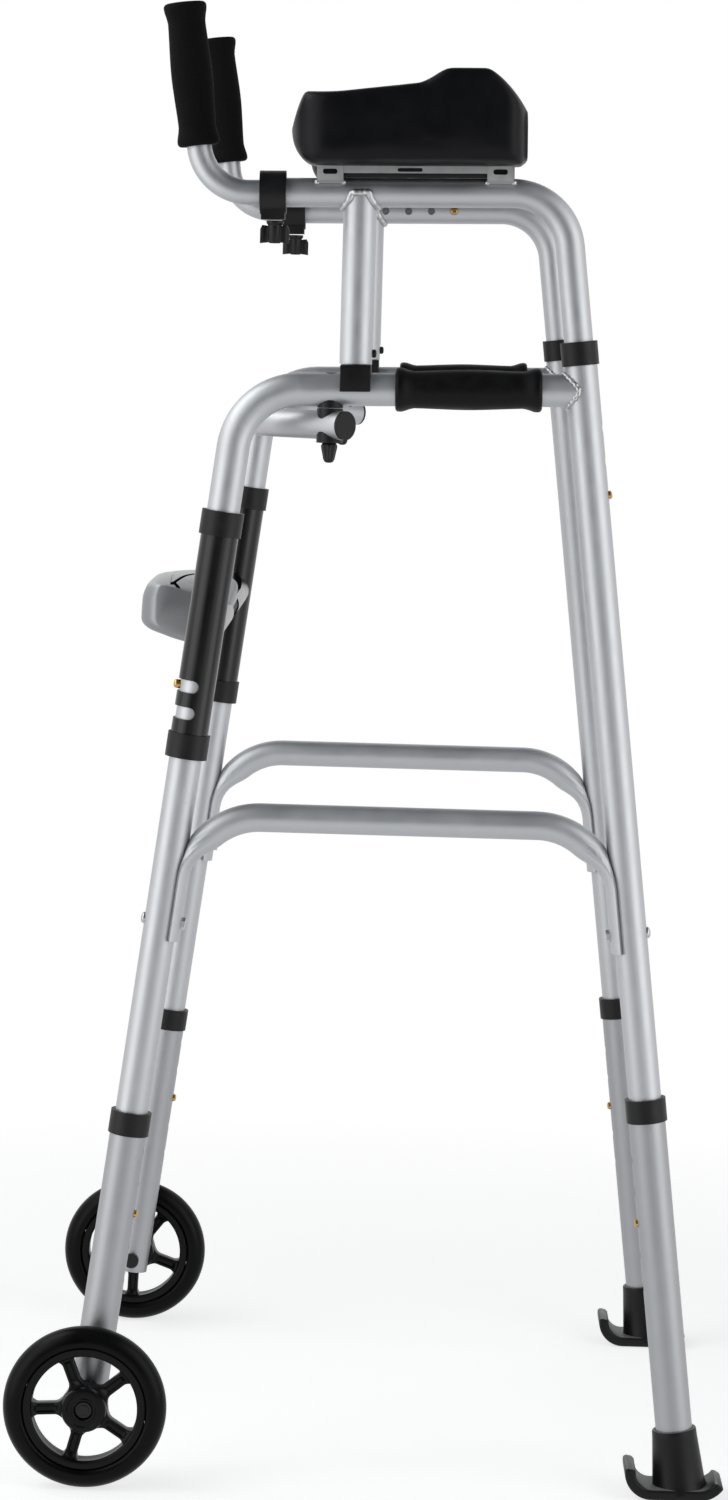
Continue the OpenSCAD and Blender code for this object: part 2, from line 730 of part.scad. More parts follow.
// The crushed stretch: rings of points that go from the round tube to the flat end, in the leg's frame
brace_rings = 8;
brace_sides = 24;
brace_lift = 0.2;
function brace_lean(end) = end < 0 ? front_lean : rear_lean;
function to_leg(end, v) = let (
    l = brace_lean(end),
    y = -end * v.y
) [v.x, y * cos(l) - v.z * sin(l), y * sin(l) + v.z * cos(l)];
function brace_point(end, i, j) = let (
    t = min(1, i / brace_rings),
    turn = brace_turn + 0.03 + t * (89.97 - brace_lean(end) - brace_turn),
    a = 360 * j / brace_sides,
    out = [0, end * sin(turn), cos(turn)],
    y0 = end < 0 ? brace_front_y : brace_rear_y,
    leg = end < 0 ? front_pt(brace_bolt_z) : rear_pt(brace_bolt_z),
    c = [0, y0, brace_h - brace_bend_r] + out * brace_bend_r - leg,
    round_pt = to_leg(end, c + (brace_od / 2 - 2 * bend_inset) * ([cos(a), 0, 0] + sin(a) * out)),
    r = brace_seat_r + (sin(a) > 0 ? brace_lift : brace_tab_t),
    wrap = brace_wrap / 2 * cos(a),
    flat_z = i > brace_rings ? -brace_tab_tail : to_leg(end, c).z,
    flat_pt = [r * sin(wrap), r * cos(wrap), flat_z],
    mix = t * t * (3 - 2 * t)
) off_leg(round_pt * (1 - mix) + flat_pt * mix);
function off_leg(p) = [p.x, max(p.y, sqrt(max(0, pow(brace_seat_r + brace_lift, 2) - p.x * p.x))), p.z];

module brace_crush(end)
    polyhedron(
        points = [for (i = [0 : brace_rings + 1]) for (j = [0 : brace_sides - 1]) brace_point(end, i, j)],
        faces = concat(
            [[for (j = [0 : brace_sides - 1]) j]],
            [for (i = [0 : brace_rings]) for (j = [0 : brace_sides - 1]) let (
                k = (j + 1) % brace_sides,
                a = i * brace_sides
            ) [a + j, a + brace_sides + j, a + brace_sides + k]],
            [for (i = [0 : brace_rings]) for (j = [0 : brace_sides - 1]) let (
                k = (j + 1) % brace_sides,
                a = i * brace_sides
            ) [a + j, a + brace_sides + k, a + k]],
            [[for (j = [brace_sides - 1 : -1 : 0]) (brace_rings + 1) * brace_sides + j]]
        )
    );

module brace_end(end)
    at_brace_bolt(end)
        difference() {
            brace_crush(end);
            rotate([-90, 0, 0]) cylinder(d = brace_bolt_d + 2 * seat_gap, h = far_cut);
        }

module side_brace(side)
    color(silver) on_side(side) {
        straight([0, brace_front_y - 1, brace_h], [0, brace_rear_y + 1, brace_h], brace_od);
        for (end = [-1, 1]) {
            brace_bend(end, 0, brace_turn)
                difference() {
                    circle(d = brace_od - 2 * bend_inset);
                    circle(d = brace_od - 2 * tube_wall + 2 * bend_inset);
                }
            brace_end(end);
        }
    }

module brace_bolt(end) {
    nut_r = brace_seat_r + brace_tab_t;
    at_brace_bolt(end) {
        translate([0, -leg_od / 2 - 1, 0]) rotate([-90, 0, 0])
            cylinder(d = brace_bolt_d, h = leg_od / 2 + 2 + nut_r + brace_head_t);
        difference() {
            translate([0, 1.5 - leg_od / 2, 0]) rotate([90, 0, 0])
                cylinder(d = brace_head_d, h = brace_head_t + 1.5);
            translate([0, 0, -far_cut / 2]) cylinder(r = brace_seat_r, h = far_cut);
        }
        difference() {
            translate([0, nut_r - 1.5, 0]) rotate([-90, 0, 0])
                cylinder(d = brace_head_d, h = brace_head_t + 1.5, $fn = 6);
            translate([0, 0, -far_cut / 2]) cylinder(r = nut_r + seat_gap, h = far_cut);
        }
    }
}

module handle_core(d) rod(handle_pt(bar_bolt_y - 30), handle_pt(bar_bolt_y + 30), d);

module frame_bolts(side)
    on_side(side) {
        top_z = handle_pt(bar_bolt_y).z + leg_od / 2;
        low_z = split_z + saddle_split / 2;
        color(silver) {
            brace_bolt(-1);
            brace_bolt(1);
        }
        color(brass) on_front(slot_z) translate([0, 1.5 - leg_od / 2, 0]) rotate([90, 0, 0])
            cylinder(d = guide_pin_d, h = (sleeve_od - leg_od) / 2 + guide_pin_out + 1.5);
        color(black) {
            translate([0, bar_bolt_y, low_z]) cylinder(d = bar_bolt_d, h = top_z + bar_head_h - low_z);
            difference() {
                translate([0, bar_bolt_y, top_z - 2]) cylinder(d = bar_head_d, h = bar_head_h + 2);
                handle_core(leg_od + 2 * seat_gap);
            }
            difference() {
                translate([0, bar_bolt_y, low_z])
                    cylinder(d = saddle_d, h = top_z - leg_od + saddle_reach - low_z);
                handle_core(leg_od + 2 * seat_gap);
                translate([0, bar_bolt_y, bar_z]) cylinder(d = bar_bolt_d + 2 * seat_gap, h = far_cut);
            }
        }
    }

module top_collar(side)
    color(black) on_side(side) on_rear(rear_top)
        bush(leg_od + 2 * collar_t, leg_od, rail_od, top_collar_len, 3);

// Front leg extension with its wheel

module front_extension(side)
    color(silver) on_side(side)
        difference() {
            on_front(axle_h - axle_margin)
                ring(ext_od, ext_bore, (front_ext_top - axle_h + axle_margin) / cos(front_lean));
            on_front(front_button_z)
                for (i = [-hole_steps : hole_steps])
                    translate([0, 0, i * hole_pitch]) rotate([0, 0, 90]) snap_hole();
            translate([-far_cut / 2, 0, axle_h]) rotate([0, 90, 0])
                cylinder(d = axle_d + 2 * seat_gap, h = far_cut);
        }

module front_collar(side)
    color(black) on_side(side) on_front(front_ext_top)
        bush(ext_od + 2 * collar_t, ext_od, leg_od, collar_len, 3);

module axle_part(from, to, d)
    translate([from, 0, axle_h]) rotate([0, 90, 0]) cylinder(d = d, h = to - from);

hub_recess_d = 15;
hub_recess = 6.5;

module axle_bolt(side)
    color(black) on_side(side) {
        out = wheel_x + hub_w / 2 - hub_recess;
        axle_part(-ext_od / 2 - 3, out + 5, axle_d);
        axle_part(out + 0.3, out + 4.3, 12.5);
        difference() {
            union() {
                axle_part(-ext_od / 2 - 4.5, 3 - ext_od / 2, 13);
                axle_part(ext_od / 2 - 3, ext_od / 2 + spacer_len, 15);
            }
            on_front(0) cylinder(d = ext_od + 2 * seat_gap, h = stance);
        }
    }

module about_axle() translate([wheel_x, 0, axle_h]) children();

module wheel_rim(side)
    color(black) on_side(side) about_axle()
        difference() {
            union() {
                rotate([0, 90, 0]) {
                    translate([0, 0, -hub_w / 2]) cylinder(d = hub_d, h = hub_w);
                    translate([0, 0, -rim_w / 2]) ring(rim_d - 2 * seat_gap, rim_in_d, rim_w);
                }
                for (i = [0 : spokes - 1])
                    rotate([(side < 0 ? right_spoke_angle : left_spoke_angle) + i * 360 / spokes, 0, 0])
                        translate([-spoke_t / 2, hub_d / 2 - 3, -spoke_w / 2])
                            cube([spoke_t, (rim_in_d - hub_d) / 2 + 5, spoke_w]);
            }
            rotate([0, 90, 0]) cylinder(d = axle_d + 0.12, h = far_cut, center = true);
            translate([hub_w / 2 - hub_recess, 0, 0]) rotate([0, 90, 0])
                cylinder(d = hub_recess_d, h = hub_w);
        }

module tyre(side)
    color(black) on_side(side) about_axle() rotate([0, 90, 0])
        rotate_extrude($fn = 96) {
            crown = wheel_d / 2 - tyre_w / 2;
            polygon(concat(
                [[rim_d / 2, -tyre_w / 2 + 1.5], [rim_d / 2 + 1.5, -tyre_w / 2]],
                [for (a = [-90 : 15 : 90]) [crown + tyre_w / 2 * cos(a), tyre_w / 2 * sin(a)]],
                [[rim_d / 2 + 1.5, tyre_w / 2], [rim_d / 2, tyre_w / 2 - 1.5]]
            ));
        }

// Rear leg extension with its glide foot

module rear_extension(side)
    color(silver) on_side(side)
        difference() {
            on_rear(foot_floor + 1)
                ring(ext_od, ext_bore, (rear_ext_top - foot_floor - 1) / cos(rear_lean));
            on_rear(rear_button_z)
                for (i = [-hole_steps : hole_steps])
                    translate([0, 0, i * hole_pitch]) rotate([0, 0, -90]) snap_hole();
        }

module rear_collar(side)
    color(black) on_side(side) on_rear(rear_ext_top)
        bush(ext_od + 2 * collar_t, ext_od, leg_od, collar_len, 3);

// Points of an arc in the ski's side view
function ski_arc(y, r_out, r, from, to) = [
    for (i = [0 : 16]) let (a = from + (to - from) * i / 16) [y + r * cos(a), r_out + r * sin(a)]
];

module ski() {
    y0 = stance - ski_front;
    y1 = stance + ski_rear;
    rotate([90, 0, 90]) translate([0, 0, -ski_w / 2])
        linear_extrude(ski_w) polygon(concat(
            ski_arc(y0, curl_r, curl_r, -90 - curl_turn, -90),
            ski_arc(y1, lip_r, lip_r, -90, lip_turn - 90),
            ski_arc(y1, lip_r, lip_r - ski_t, lip_turn - 90, -90),
            ski_arc(y0, curl_r, curl_r - ski_t, -90, -90 - curl_turn)
        ));
}

module glide_foot(side)
    color(black) on_side(side)
        difference() {
            union() {
                ski();
                intersection() {
                    on_rear(0)
                        cylinder(d1 = socket_low_d + 2, d2 = socket_top_d, h = socket_h / cos(rear_lean));
                    translate([-far_cut / 2, stance - far_cut, 2]) cube(2 * far_cut);
                }
            }
            on_rear(foot_floor) cylinder(d = ext_od + 2 * seat_gap, h = 2 * far_cut);
        }

module front_button(side)
    on_side(side) on_front(front_button_z) rotate([0, 0, 90]) snap_button(ext_od, leg_bore);
module rear_button(side)
    on_side(side) on_rear(rear_button_z) rotate([0, 0, -90]) snap_button(ext_od, leg_bore);
module arm_button(side)
    on_side(side) on_rear(arm_button_z) rotate([0, 0, 90]) snap_button(leg_od, rail_bore);
module grip_button(side)
    on_side(side) on_rail(grip_button_y) rotate([0, 0, 180]) snap_button(rail_od, stem_bore);

// Arm support

rail_start = clamp_y - clamp_l / 2 + 6;
rail_path = [
    rail_pt(rail_start),
    [0, rail_corner_y, rail_pt(rail_corner_y).z],
    rear_pt(rear_top - rail_tail)
];
block_top = handle_pt(post_y).z + block_h;
bracket_start = pad_start + 19;
bracket_len = pad_len - 29;

// z up from the rail's centre line, and y to the rear along it
module over_rail(y) translate(rail_pt(y)) rotate([rail_rise, 0, 0]) children();

module pad_bracket()
    over_rail(bracket_start)
        difference() {
            half = bracket_w / 2;
            tab_ends = [0, bracket_len - tab_l];
            union() {
                translate([-half, 0, pad_lift - bracket_t]) cube([bracket_w, bracket_len, bracket_t]);
                for (s = [-1, 1])
                    translate([s < 0 ? -half : half - bracket_t, 0, pad_lift - bracket_edge])
                        cube([bracket_t, bracket_len, bracket_edge]);
                for (y = tab_ends)
                    difference() {
                        translate([-half - 1, y, rail_od / 2 - 4])
                            cube([bracket_w + 2, tab_l, pad_lift - rail_od / 2 + 4]);
                        translate([3 - half, y - 1, 0])
                            cube([bracket_w - 6, tab_l + 2, pad_lift - bracket_t]);
                    }
            }
            for (y = tab_ends)
                translate([-half - 3, y + (tab_l - tab_slot_l) / 2, pad_lift - tab_slot_top - tab_slot_h])
                    cube([bracket_w + 6, tab_slot_l, tab_slot_h]);
        }

module arm_frame(side)
    color(silver) on_side(side)
        difference() {
            union() {
                bent_tube(rail_path, rail_bend_r, rail_od);
                difference() {
                    translate([0, post_y, block_top + 0.3])
                        ring(leg_od, leg_bore, rail_pt(post_y).z - block_top - 0.3);
                    rod(rail_pt(post_y - far_cut), rail_pt(post_y + far_cut), rail_od - 0.4);
                }
                pad_bracket();
            }
            translate([-snap_d / 2 - snap_gap, post_y, block_top])
                cube([snap_d + 2 * snap_gap, leg_od, post_notch]);
            for (i = [0 : rail_steps])
                on_rail(grip_button_y - i * rail_pitch) rotate([0, 0, 180]) snap_hole();
            on_rear(arm_button_z) rotate([0, 0, 90]) snap_hole();
        }

module post_saddle(side)
    on_side(side) {
        color(silver) translate([0, post_y, block_top - eps])
            cylinder(d = leg_bore - 2 * slide_gap, h = stem_len);
        color(black) translate([0, post_y, block_top + 8.6]) rotate([-90, 0, 0])
            cylinder(d = snap_d, h = leg_od / 2 + snap_out);
        color(black) difference() {
            low = handle_pt(post_y).z - block_skirt;
            slip = arm_travel * sin(rear_lean);
            translate([-block_w / 2, post_y - block_l / 2, low]) cube([block_w, block_l, block_top - low]);
            rod(handle_pt(post_y - far_cut), handle_pt(post_y + far_cut), leg_od + 0.6);
            notch_h = block_skirt + leg_od / 2 + bar_head_h + 1;
            translate([-bar_head_d / 2 - 1, bar_bolt_y, low])
                cube([bar_head_d + 2, bar_head_d / 2 + slip + 1, notch_h]);
        }
    }

// Arm pad: rings of points about its length, from a front that bulges out to a raised rear

pad_rings = 30;
pad_sides = 28;
function smooth(t) = let (c = min(1, max(0, t))) c * c * (3 - 2 * c);
function pad_y(i) = pad_len * (1 - cos(180 * i / pad_rings)) / 2;
function pad_nose(y) = y < 19 ? 1 - sqrt(max(0, 1 - pow(1 - y / 19, 2))) : 0;
function pad_low(y) = 27 * pad_nose(y) + 3 * smooth((y - pad_len + 5) / 5);
function pad_brow(y) = y < 11 ? 27 + (pad_front_h - 27) * (1 - pow(1 - y / 11, 1.35))
    : pad_front_h + (pad_mid_h - pad_front_h) * min(1, (y - 11) / 83);
function pad_high(y) = min(
    pad_brow(y) + (pad_rear_h - pad_mid_h) * smooth((y - 94) / 27),
    pad_rear_h - 37 * pow(max(0, (y - 147) / 31), 1.45)
);
function pad_half(y) = pad_w / 2 * min(
    pow(max(0.02, 1 - pow(max(0, 1 - y / 34), 2.6)), 1 / 2.6),
    pow(max(0.3, 1 - pow(max(0, (y - pad_len + 20) / 20), 3)), 1 / 3)
);
function edge(t) = sign(t) * pow(abs(t), 0.42);
function pad_point(i, j) = let (
    y = pad_y(i),
    a = 360 * j / pad_sides,
    u = edge(cos(a)),
    v = edge(sin(a)),
    low = pad_low(y),
    high = max(low + 0.6, pad_high(y)),
    hollow = v > 0 ? pad_hollow * v * (1 - u * u) * smooth(y / 40) * smooth((pad_len - y) / 30) : 0
) [
    u * (pad_half(y) - pad_draw_in * (1 - v * v)),
    y,
    (low + high) / 2 + v * (high - low) / 2 - hollow
];

module arm_pad(side)
    color(black) on_side(side) over_rail(pad_start) translate([0, 0, pad_lift + 0.05])
        polyhedron(
            points = [for (i = [0 : pad_rings]) for (j = [0 : pad_sides - 1]) pad_point(i, j)],
            faces = concat(
                [[for (j = [0 : pad_sides - 1]) j]],
                [for (i = [0 : pad_rings - 1]) for (j = [0 : pad_sides - 1]) let (
                    k = (j + 1) % pad_sides,
                    a = i * pad_sides
                ) [a + j, a + pad_sides + j, a + pad_sides + k]],
                [for (i = [0 : pad_rings - 1]) for (j = [0 : pad_sides - 1]) let (
                    k = (j + 1) % pad_sides,
                    a = i * pad_sides
                ) [a + j, a + pad_sides + k, a + k]],
                [[for (j = [pad_sides - 1 : -1 : 0]) pad_rings * pad_sides + j]]
            )
        );

// Hand grips

module grip_clamp(side)
    color(black) on_side(side) on_rail(clamp_y - clamp_l / 2)
        difference() {
            union() {
                cylinder(d = clamp_d, h = clamp_l);
                translate([-clamp_foot_w / 2, 0, 1]) cube([clamp_foot_w, clamp_foot, clamp_l - 2]);
            }
            translate([0, 0, -eps]) cylinder(d = stem_od + 2 * slide_gap, h = clamp_l);
            translate([0, 0, 6 - seat_gap]) cylinder(d = rail_od + 2 * seat_gap, h = clamp_l);
            translate([0, 0, clamp_l / 2 + 2]) rotate([-90, 0, 0]) cylinder(d = screw_d + 0.6, h = far_cut);
        }

module wing_knob(side)
    color(black) on_side(side) on_rail(clamp_y + 2) rotate([-90, 0, 0]) {
        from = clamp_foot + 0.8;
        translate([0, 0, rail_od / 2 + 0.4]) cylinder(d = screw_d, h = clamp_foot - rail_od / 2 + 6);
        translate([0, 0, from]) cylinder(d = knob_span * 0.5, h = knob_h);
        for (a = [0, 180]) rotate([0, 0, a + 60]) {
            translate([0, -2.5, from + 2]) cube([knob_span / 2 - 2.5, 5, knob_h - 2]);
            translate([knob_span / 2 - 2.5, 0, from + 2]) cylinder(d = 5, h = knob_h - 2);
        }
    }

stem_corner = rail_pt(stem_y);
function foam_from(side) = foam_z + (side < 0 ? right_foam_lift : 0);
function grip_path(side) = [
    rail_pt(grip_button_y + 16),
    stem_corner,
    stem_corner + stem_up * (foam_from(side) + foam_len - 4)
];

module grip_tube(side)
    color(silver) on_side(side)
        difference() {
            bent_tube(grip_path(side), stem_bend_r, stem_od);
            on_rail(grip_button_y) rotate([0, 0, 180]) snap_hole();
        }

module foam_grip(side)
    color(black) on_side(side) translate(stem_corner + stem_up * foam_from(side)) rotate([stem_lean, 0, 0])
        difference() {
            rotate_extrude() grip_outline(foam_len, 0, foam_end_d, foam_waist_d, foam_mid_d);
            translate([0, 0, -eps]) cylinder(d = stem_od + 2 * seat_gap, h = foam_len - 3 + eps);
        }

front_brace();
sleeve_collars();
hub_housing();
fold_button();
lock_rod(1);  // left_lock_rod
lock_rod(-1);  // right_lock_rod
front_bar();
bar_fittings();
thumb_nut(1);  // left_thumb_nut
thumb_nut(-1);  // right_thumb_nut
front_tube(1);  // left_front_tube
rear_leg(1);  // left_rear_leg
handle_grip(1);  // left_handle_grip
side_brace(1);  // left_side_brace
frame_bolts(1);  // left_frame_bolts
top_collar(1);  // left_top_collar
front_extension(1);  // left_front_extension
front_collar(1);  // left_front_collar
axle_bolt(1);  // left_axle_bolt
wheel_rim(1);  // left_wheel_rim
tyre(1);  // left_tyre
front_button(1);  // left_front_button
rear_extension(1);  // left_rear_extension
rear_collar(1);  // left_rear_collar
glide_foot(1);  // left_glide_foot
rear_button(1);  // left_rear_button
arm_frame(1);  // left_arm_frame
arm_pad(1);  // left_arm_pad
grip_clamp(1);  // left_grip_clamp
wing_knob(1);  // left_wing_knob
post_saddle(1);  // left_post_saddle
arm_button(1);  // left_arm_button
grip_tube(1);  // left_grip_tube
foam_grip(1);  // left_foam_grip
grip_button(1);  // left_grip_button
front_tube(-1);  // right_front_tube
rear_leg(-1);  // right_rear_leg
handle_grip(-1);  // right_handle_grip
side_brace(-1);  // right_side_brace
frame_bolts(-1);  // right_frame_bolts
top_collar(-1);  // right_top_collar
front_extension(-1);  // right_front_extension
front_collar(-1);  // right_front_collar
axle_bolt(-1);  // right_axle_bolt
wheel_rim(-1);  // right_wheel_rim
tyre(-1);  // right_tyre
front_button(-1);  // right_front_button
rear_extension(-1);  // right_rear_extension
rear_collar(-1);  // right_rear_collar
glide_foot(-1);  // right_glide_foot
rear_button(-1);  // right_rear_button
arm_frame(-1);  // right_arm_frame
arm_pad(-1);  // right_arm_pad
grip_clamp(-1);  // right_grip_clamp
wing_knob(-1);  // right_wing_knob
post_saddle(-1);  // right_post_saddle
arm_button(-1);  // right_arm_button
grip_tube(-1);  // right_grip_tube
foam_grip(-1);  // right_foam_grip
grip_button(-1);  // right_grip_button
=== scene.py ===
import json
import math

import bmesh
import bpy
import numpy as np
from mathutils import Matrix, Vector


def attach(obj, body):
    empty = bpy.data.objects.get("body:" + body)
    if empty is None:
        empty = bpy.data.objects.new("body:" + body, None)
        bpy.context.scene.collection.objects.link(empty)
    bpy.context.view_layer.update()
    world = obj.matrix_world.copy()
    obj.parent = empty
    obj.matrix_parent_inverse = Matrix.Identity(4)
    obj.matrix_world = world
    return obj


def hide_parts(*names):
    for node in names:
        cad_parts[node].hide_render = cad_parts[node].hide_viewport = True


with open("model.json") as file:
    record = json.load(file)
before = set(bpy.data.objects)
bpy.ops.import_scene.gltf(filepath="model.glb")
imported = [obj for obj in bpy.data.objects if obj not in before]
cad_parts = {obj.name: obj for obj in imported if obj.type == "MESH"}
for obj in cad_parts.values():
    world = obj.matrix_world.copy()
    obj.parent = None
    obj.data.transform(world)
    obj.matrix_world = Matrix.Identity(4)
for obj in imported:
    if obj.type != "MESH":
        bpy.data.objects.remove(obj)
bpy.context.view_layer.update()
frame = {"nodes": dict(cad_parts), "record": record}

walker = {  # sizes shared by all pieces, in millimetres and degrees, as the CAD has them
    "frameWidth": 504, "stance": 465, "frontLean": 7.3, "rearLean": 6.9,
    "handleHeight": 858, "railRise": 1.3, "railGap": 149, "wheelDia": 127,
    "legDia": 25.4, "railDia": 22.2, "skiRear": 13, "lipRadius": 24, "lipTurn": 58,
    "postY": 187.5, "tabStarts": (154.5, 283.5), "tabLength": 20,
}
lipReach = walker["lipRadius"] * math.sin(math.radians(walker["lipTurn"]))
skiBack = walker["stance"] + walker["skiRear"] + lipReach
midY = (skiBack - walker["wheelDia"] / 2) / 2
axleHeight = walker["wheelDia"] / 2
rearSlope = math.tan(math.radians(walker["rearLean"]))
frontSlope = math.tan(math.radians(walker["frontLean"]))
riseSlope = math.tan(math.radians(walker["railRise"]))
rearHandleY = walker["stance"] - walker["handleHeight"] * rearSlope
sideNames = {1: "left", -1: "right"}


def leanDir(angle):  # direction in the side plane, as an angle from straight up toward the rear
    a = math.radians(angle)
    return Vector((0, math.sin(a), math.cos(a)))


frontUp = leanDir(walker["frontLean"])
rearUp = leanDir(-walker["rearLean"])
railBack = leanDir(90 - walker["railRise"])
railTilt = Matrix.Rotation(math.radians(walker["railRise"]), 4, "X")
toAxle = Matrix.Rotation(math.radians(90), 4, "Y")


def frontPoint(z):
    return Vector((0, (z - axleHeight) * frontSlope, z))


def rearPoint(z):
    return Vector((0, walker["stance"] - z * rearSlope, z))


def handlePoint(y):
    return Vector((0, y, walker["handleHeight"] - (rearHandleY - y) * riseSlope))


def railPoint(y):
    return handlePoint(y) + Vector((0, 0, walker["railGap"]))


def basis(origin, zAxis, yHint=(0, 1, 0)):  # matrix with its z along zAxis
    z = Vector(zAxis).normalized()
    x = Vector(yHint).cross(z)
    x = Vector((1, 0, 0)) if x.length < 1e-6 else x.normalized()
    m = Matrix((x, z.cross(x), z)).transposed().to_4x4()
    m.translation = origin
    return m


def moved(verts, matrix):
    return [matrix @ Vector(v) for v in verts]


def put(mesh, matrix):  # a mesh with its points moved
    verts, faces = mesh
    return moved(verts, matrix), faces


def circle(radius, steps):
    turns = [2 * math.pi * i / steps for i in range(steps)]
    return [(radius * math.cos(a), radius * math.sin(a)) for a in turns]


# meshes

def lathe(profile, steps=64, closed=False):  # profile of (radius, height) turned about z
    verts, faces = [], []
    rows = len(profile)
    for i in range(steps):
        a = 2 * math.pi * i / steps
        verts += [(r * math.cos(a), r * math.sin(a), h) for r, h in profile]
    spans = rows if closed else rows - 1
    for i in range(steps):
        n = (i + 1) % steps
        for j in range(spans):
            k = (j + 1) % rows
            faces.append((i * rows + j, n * rows + j, n * rows + k, i * rows + k))
    return verts, faces


def loft(rings, loop=False):  # rings of equal length, each closed, with capped ends unless they loop
    n = len(rings[0])
    verts = [p for ring in rings for p in ring]
    faces = []
    spans = len(rings) if loop else len(rings) - 1
    for i in range(spans):
        a, b = i * n, ((i + 1) % len(rings)) * n
        for j in range(n):
            k = (j + 1) % n
            faces.append((a + j, a + k, b + k, b + j))
    if not loop:
        faces.append(tuple(reversed(range(n))))
        faces.append(tuple(range((len(rings) - 1) * n, len(rings) * n)))
    return verts, faces


def joined(*parts):
    verts, faces = [], []
    for v, f in parts:
        base = len(verts)
        verts += [tuple(p) for p in v]
        faces += [tuple(i + base for i in face) for face in f]
    return verts, faces


def roundedRect(w, h, r, steps=5):  # closed outline in x and y, counterclockwise
    pts = []
    for cx, cy, start in ((w / 2 - r, h / 2 - r, 0), (r - w / 2, h / 2 - r, 90),
                          (r - w / 2, r - h / 2, 180), (w / 2 - r, r - h / 2, 270)):
        for i in range(steps + 1):
            a = math.radians(start + 90 * i / steps)
            pts.append((cx + r * math.cos(a), cy + r * math.sin(a)))
    return pts


def smoothCurve(points, count):  # even samples of a smooth curve through the points
    pts = np.array([points[0]] + list(points) + [points[-1]], float)
    out = []
    spans = len(pts) - 3
    for i in range(count):
        u = i / (count - 1) * spans
        k = min(int(u), spans - 1)
        t = u - k
        p0, p1, p2, p3 = pts[k:k + 4]
        out.append(tuple(0.5 * ((2 * p1) + (p2 - p0) * t + (2 * p0 - 5 * p1 + 4 * p2 - p3) * t ** 2
                                + (3 * p1 - p0 - 3 * p2 + p3) * t ** 3)))
    return out


def newObject(name, verts, faces, material, scale=0.001):
    mesh = bpy.data.meshes.new(name)
    mesh.from_pydata([tuple(Vector(v) * scale) for v in verts], [], faces)
    mesh.validate()
    b = bmesh.new()
    b.from_mesh(mesh)
    bmesh.ops.remove_doubles(b, verts=b.verts, dist=1e-6)
    bmesh.ops.recalc_face_normals(b, faces=b.faces)
    b.to_mesh(mesh)
    b.free()
    obj = bpy.data.objects.new(name, mesh)
    bpy.context.scene.collection.objects.link(obj)
    obj.data.materials.append(material)
    return obj


def smoothShade(obj, angle=40):  # smooth faces, sharp where they meet at more than the angle
    b = bmesh.new()
    b.from_mesh(obj.data)
    limit = math.radians(angle)
    for f in b.faces:
        f.smooth = True
    for e in b.edges:
        e.smooth = len(e.link_faces) == 2 and e.calc_face_angle(0) < limit
    b.to_mesh(obj.data)
    b.free()


def bevelled(obj, width, segments=3, angle=35):
    mod = obj.modifiers.new("edges", "BEVEL")
    mod.width = width / 1000
    mod.segments = segments
    mod.limit_method = "ANGLE"
    mod.angle_limit = math.radians(angle)
    mod.harden_normals = True


def sidePiece(name, mesh, body, slot, replaced=(), finish=None, edge=0, angle=40, sides=(1, -1)):
    verts, faces = mesh
    for side in sides:
        word = sideNames[side]
        placed = [(side * (walker["frameWidth"] / 2 + v[0]), v[1] - midY, v[2]) for v in verts]
        turned = faces if side > 0 else [tuple(reversed(f)) for f in faces]
        obj = newObject(f"{word}_{name}", placed, turned, finishes[finish or slot])
        smoothShade(obj, angle)
        if edge:
            bevelled(obj, edge)
        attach(obj, f"{word}_{body}")
        if replaced:
            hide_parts(*[f"{word}_{n}" for n in replaced])


# materials

def nodeMaterial(name, color, roughness, metallic=0.0, shine=0.5):
    mat = bpy.data.materials.new(name)
    mat.use_nodes = True
    shader = mat.node_tree.nodes["Principled BSDF"]
    shader.inputs["Base Color"].default_value = (*color, 1)
    shader.inputs["Roughness"].default_value = roughness
    shader.inputs["Metallic"].default_value = metallic
    shader.inputs["Specular IOR Level"].default_value = shine
    return mat, mat.node_tree, shader


def objectNoise(tree, scale, detail):
    coords = tree.nodes.new("ShaderNodeTexCoord")
    noise = tree.nodes.new("ShaderNodeTexNoise")
    noise.inputs["Scale"].default_value = scale
    noise.inputs["Detail"].default_value = detail
    tree.links.new(coords.outputs["Object"], noise.inputs["Vector"])
    return noise


def ramp(tree, source, low, high, lowPos=0.35, highPos=0.65):
    node = tree.nodes.new("ShaderNodeValToRGB")
    for stop, place, tone in zip(node.color_ramp.elements, (lowPos, highPos), (low, high)):
        stop.position = place
        stop.color = (*tone, 1)
    tree.links.new(source, node.inputs["Fac"])
    return node


def addBump(tree, shader, source, distance, soften=0.0, strength=0.35):
    bump = tree.nodes.new("ShaderNodeBump")
    bump.inputs["Strength"].default_value = strength
    bump.inputs["Distance"].default_value = distance
    tree.links.new(source, bump.inputs["Height"])
    if soften:
        bevel = tree.nodes.new("ShaderNodeBevel")
        bevel.samples = 6
        bevel.inputs["Radius"].default_value = soften
        tree.links.new(bevel.outputs["Normal"], bump.inputs["Normal"])
    tree.links.new(bump.outputs["Normal"], shader.inputs["Normal"])


def addRoughness(tree, shader, tone, middle, spread):
    rough = ramp(tree, tone.outputs["Fac"], (middle - spread,) * 3, (middle + spread,) * 3)
    tree.links.new(rough.outputs["Color"], shader.inputs["Roughness"])


def addGrain(tree, shader, scale, height, soften=0.0):
    grain = objectNoise(tree, scale, 2)
    addBump(tree, shader, grain.outputs["Fac"], height, soften)


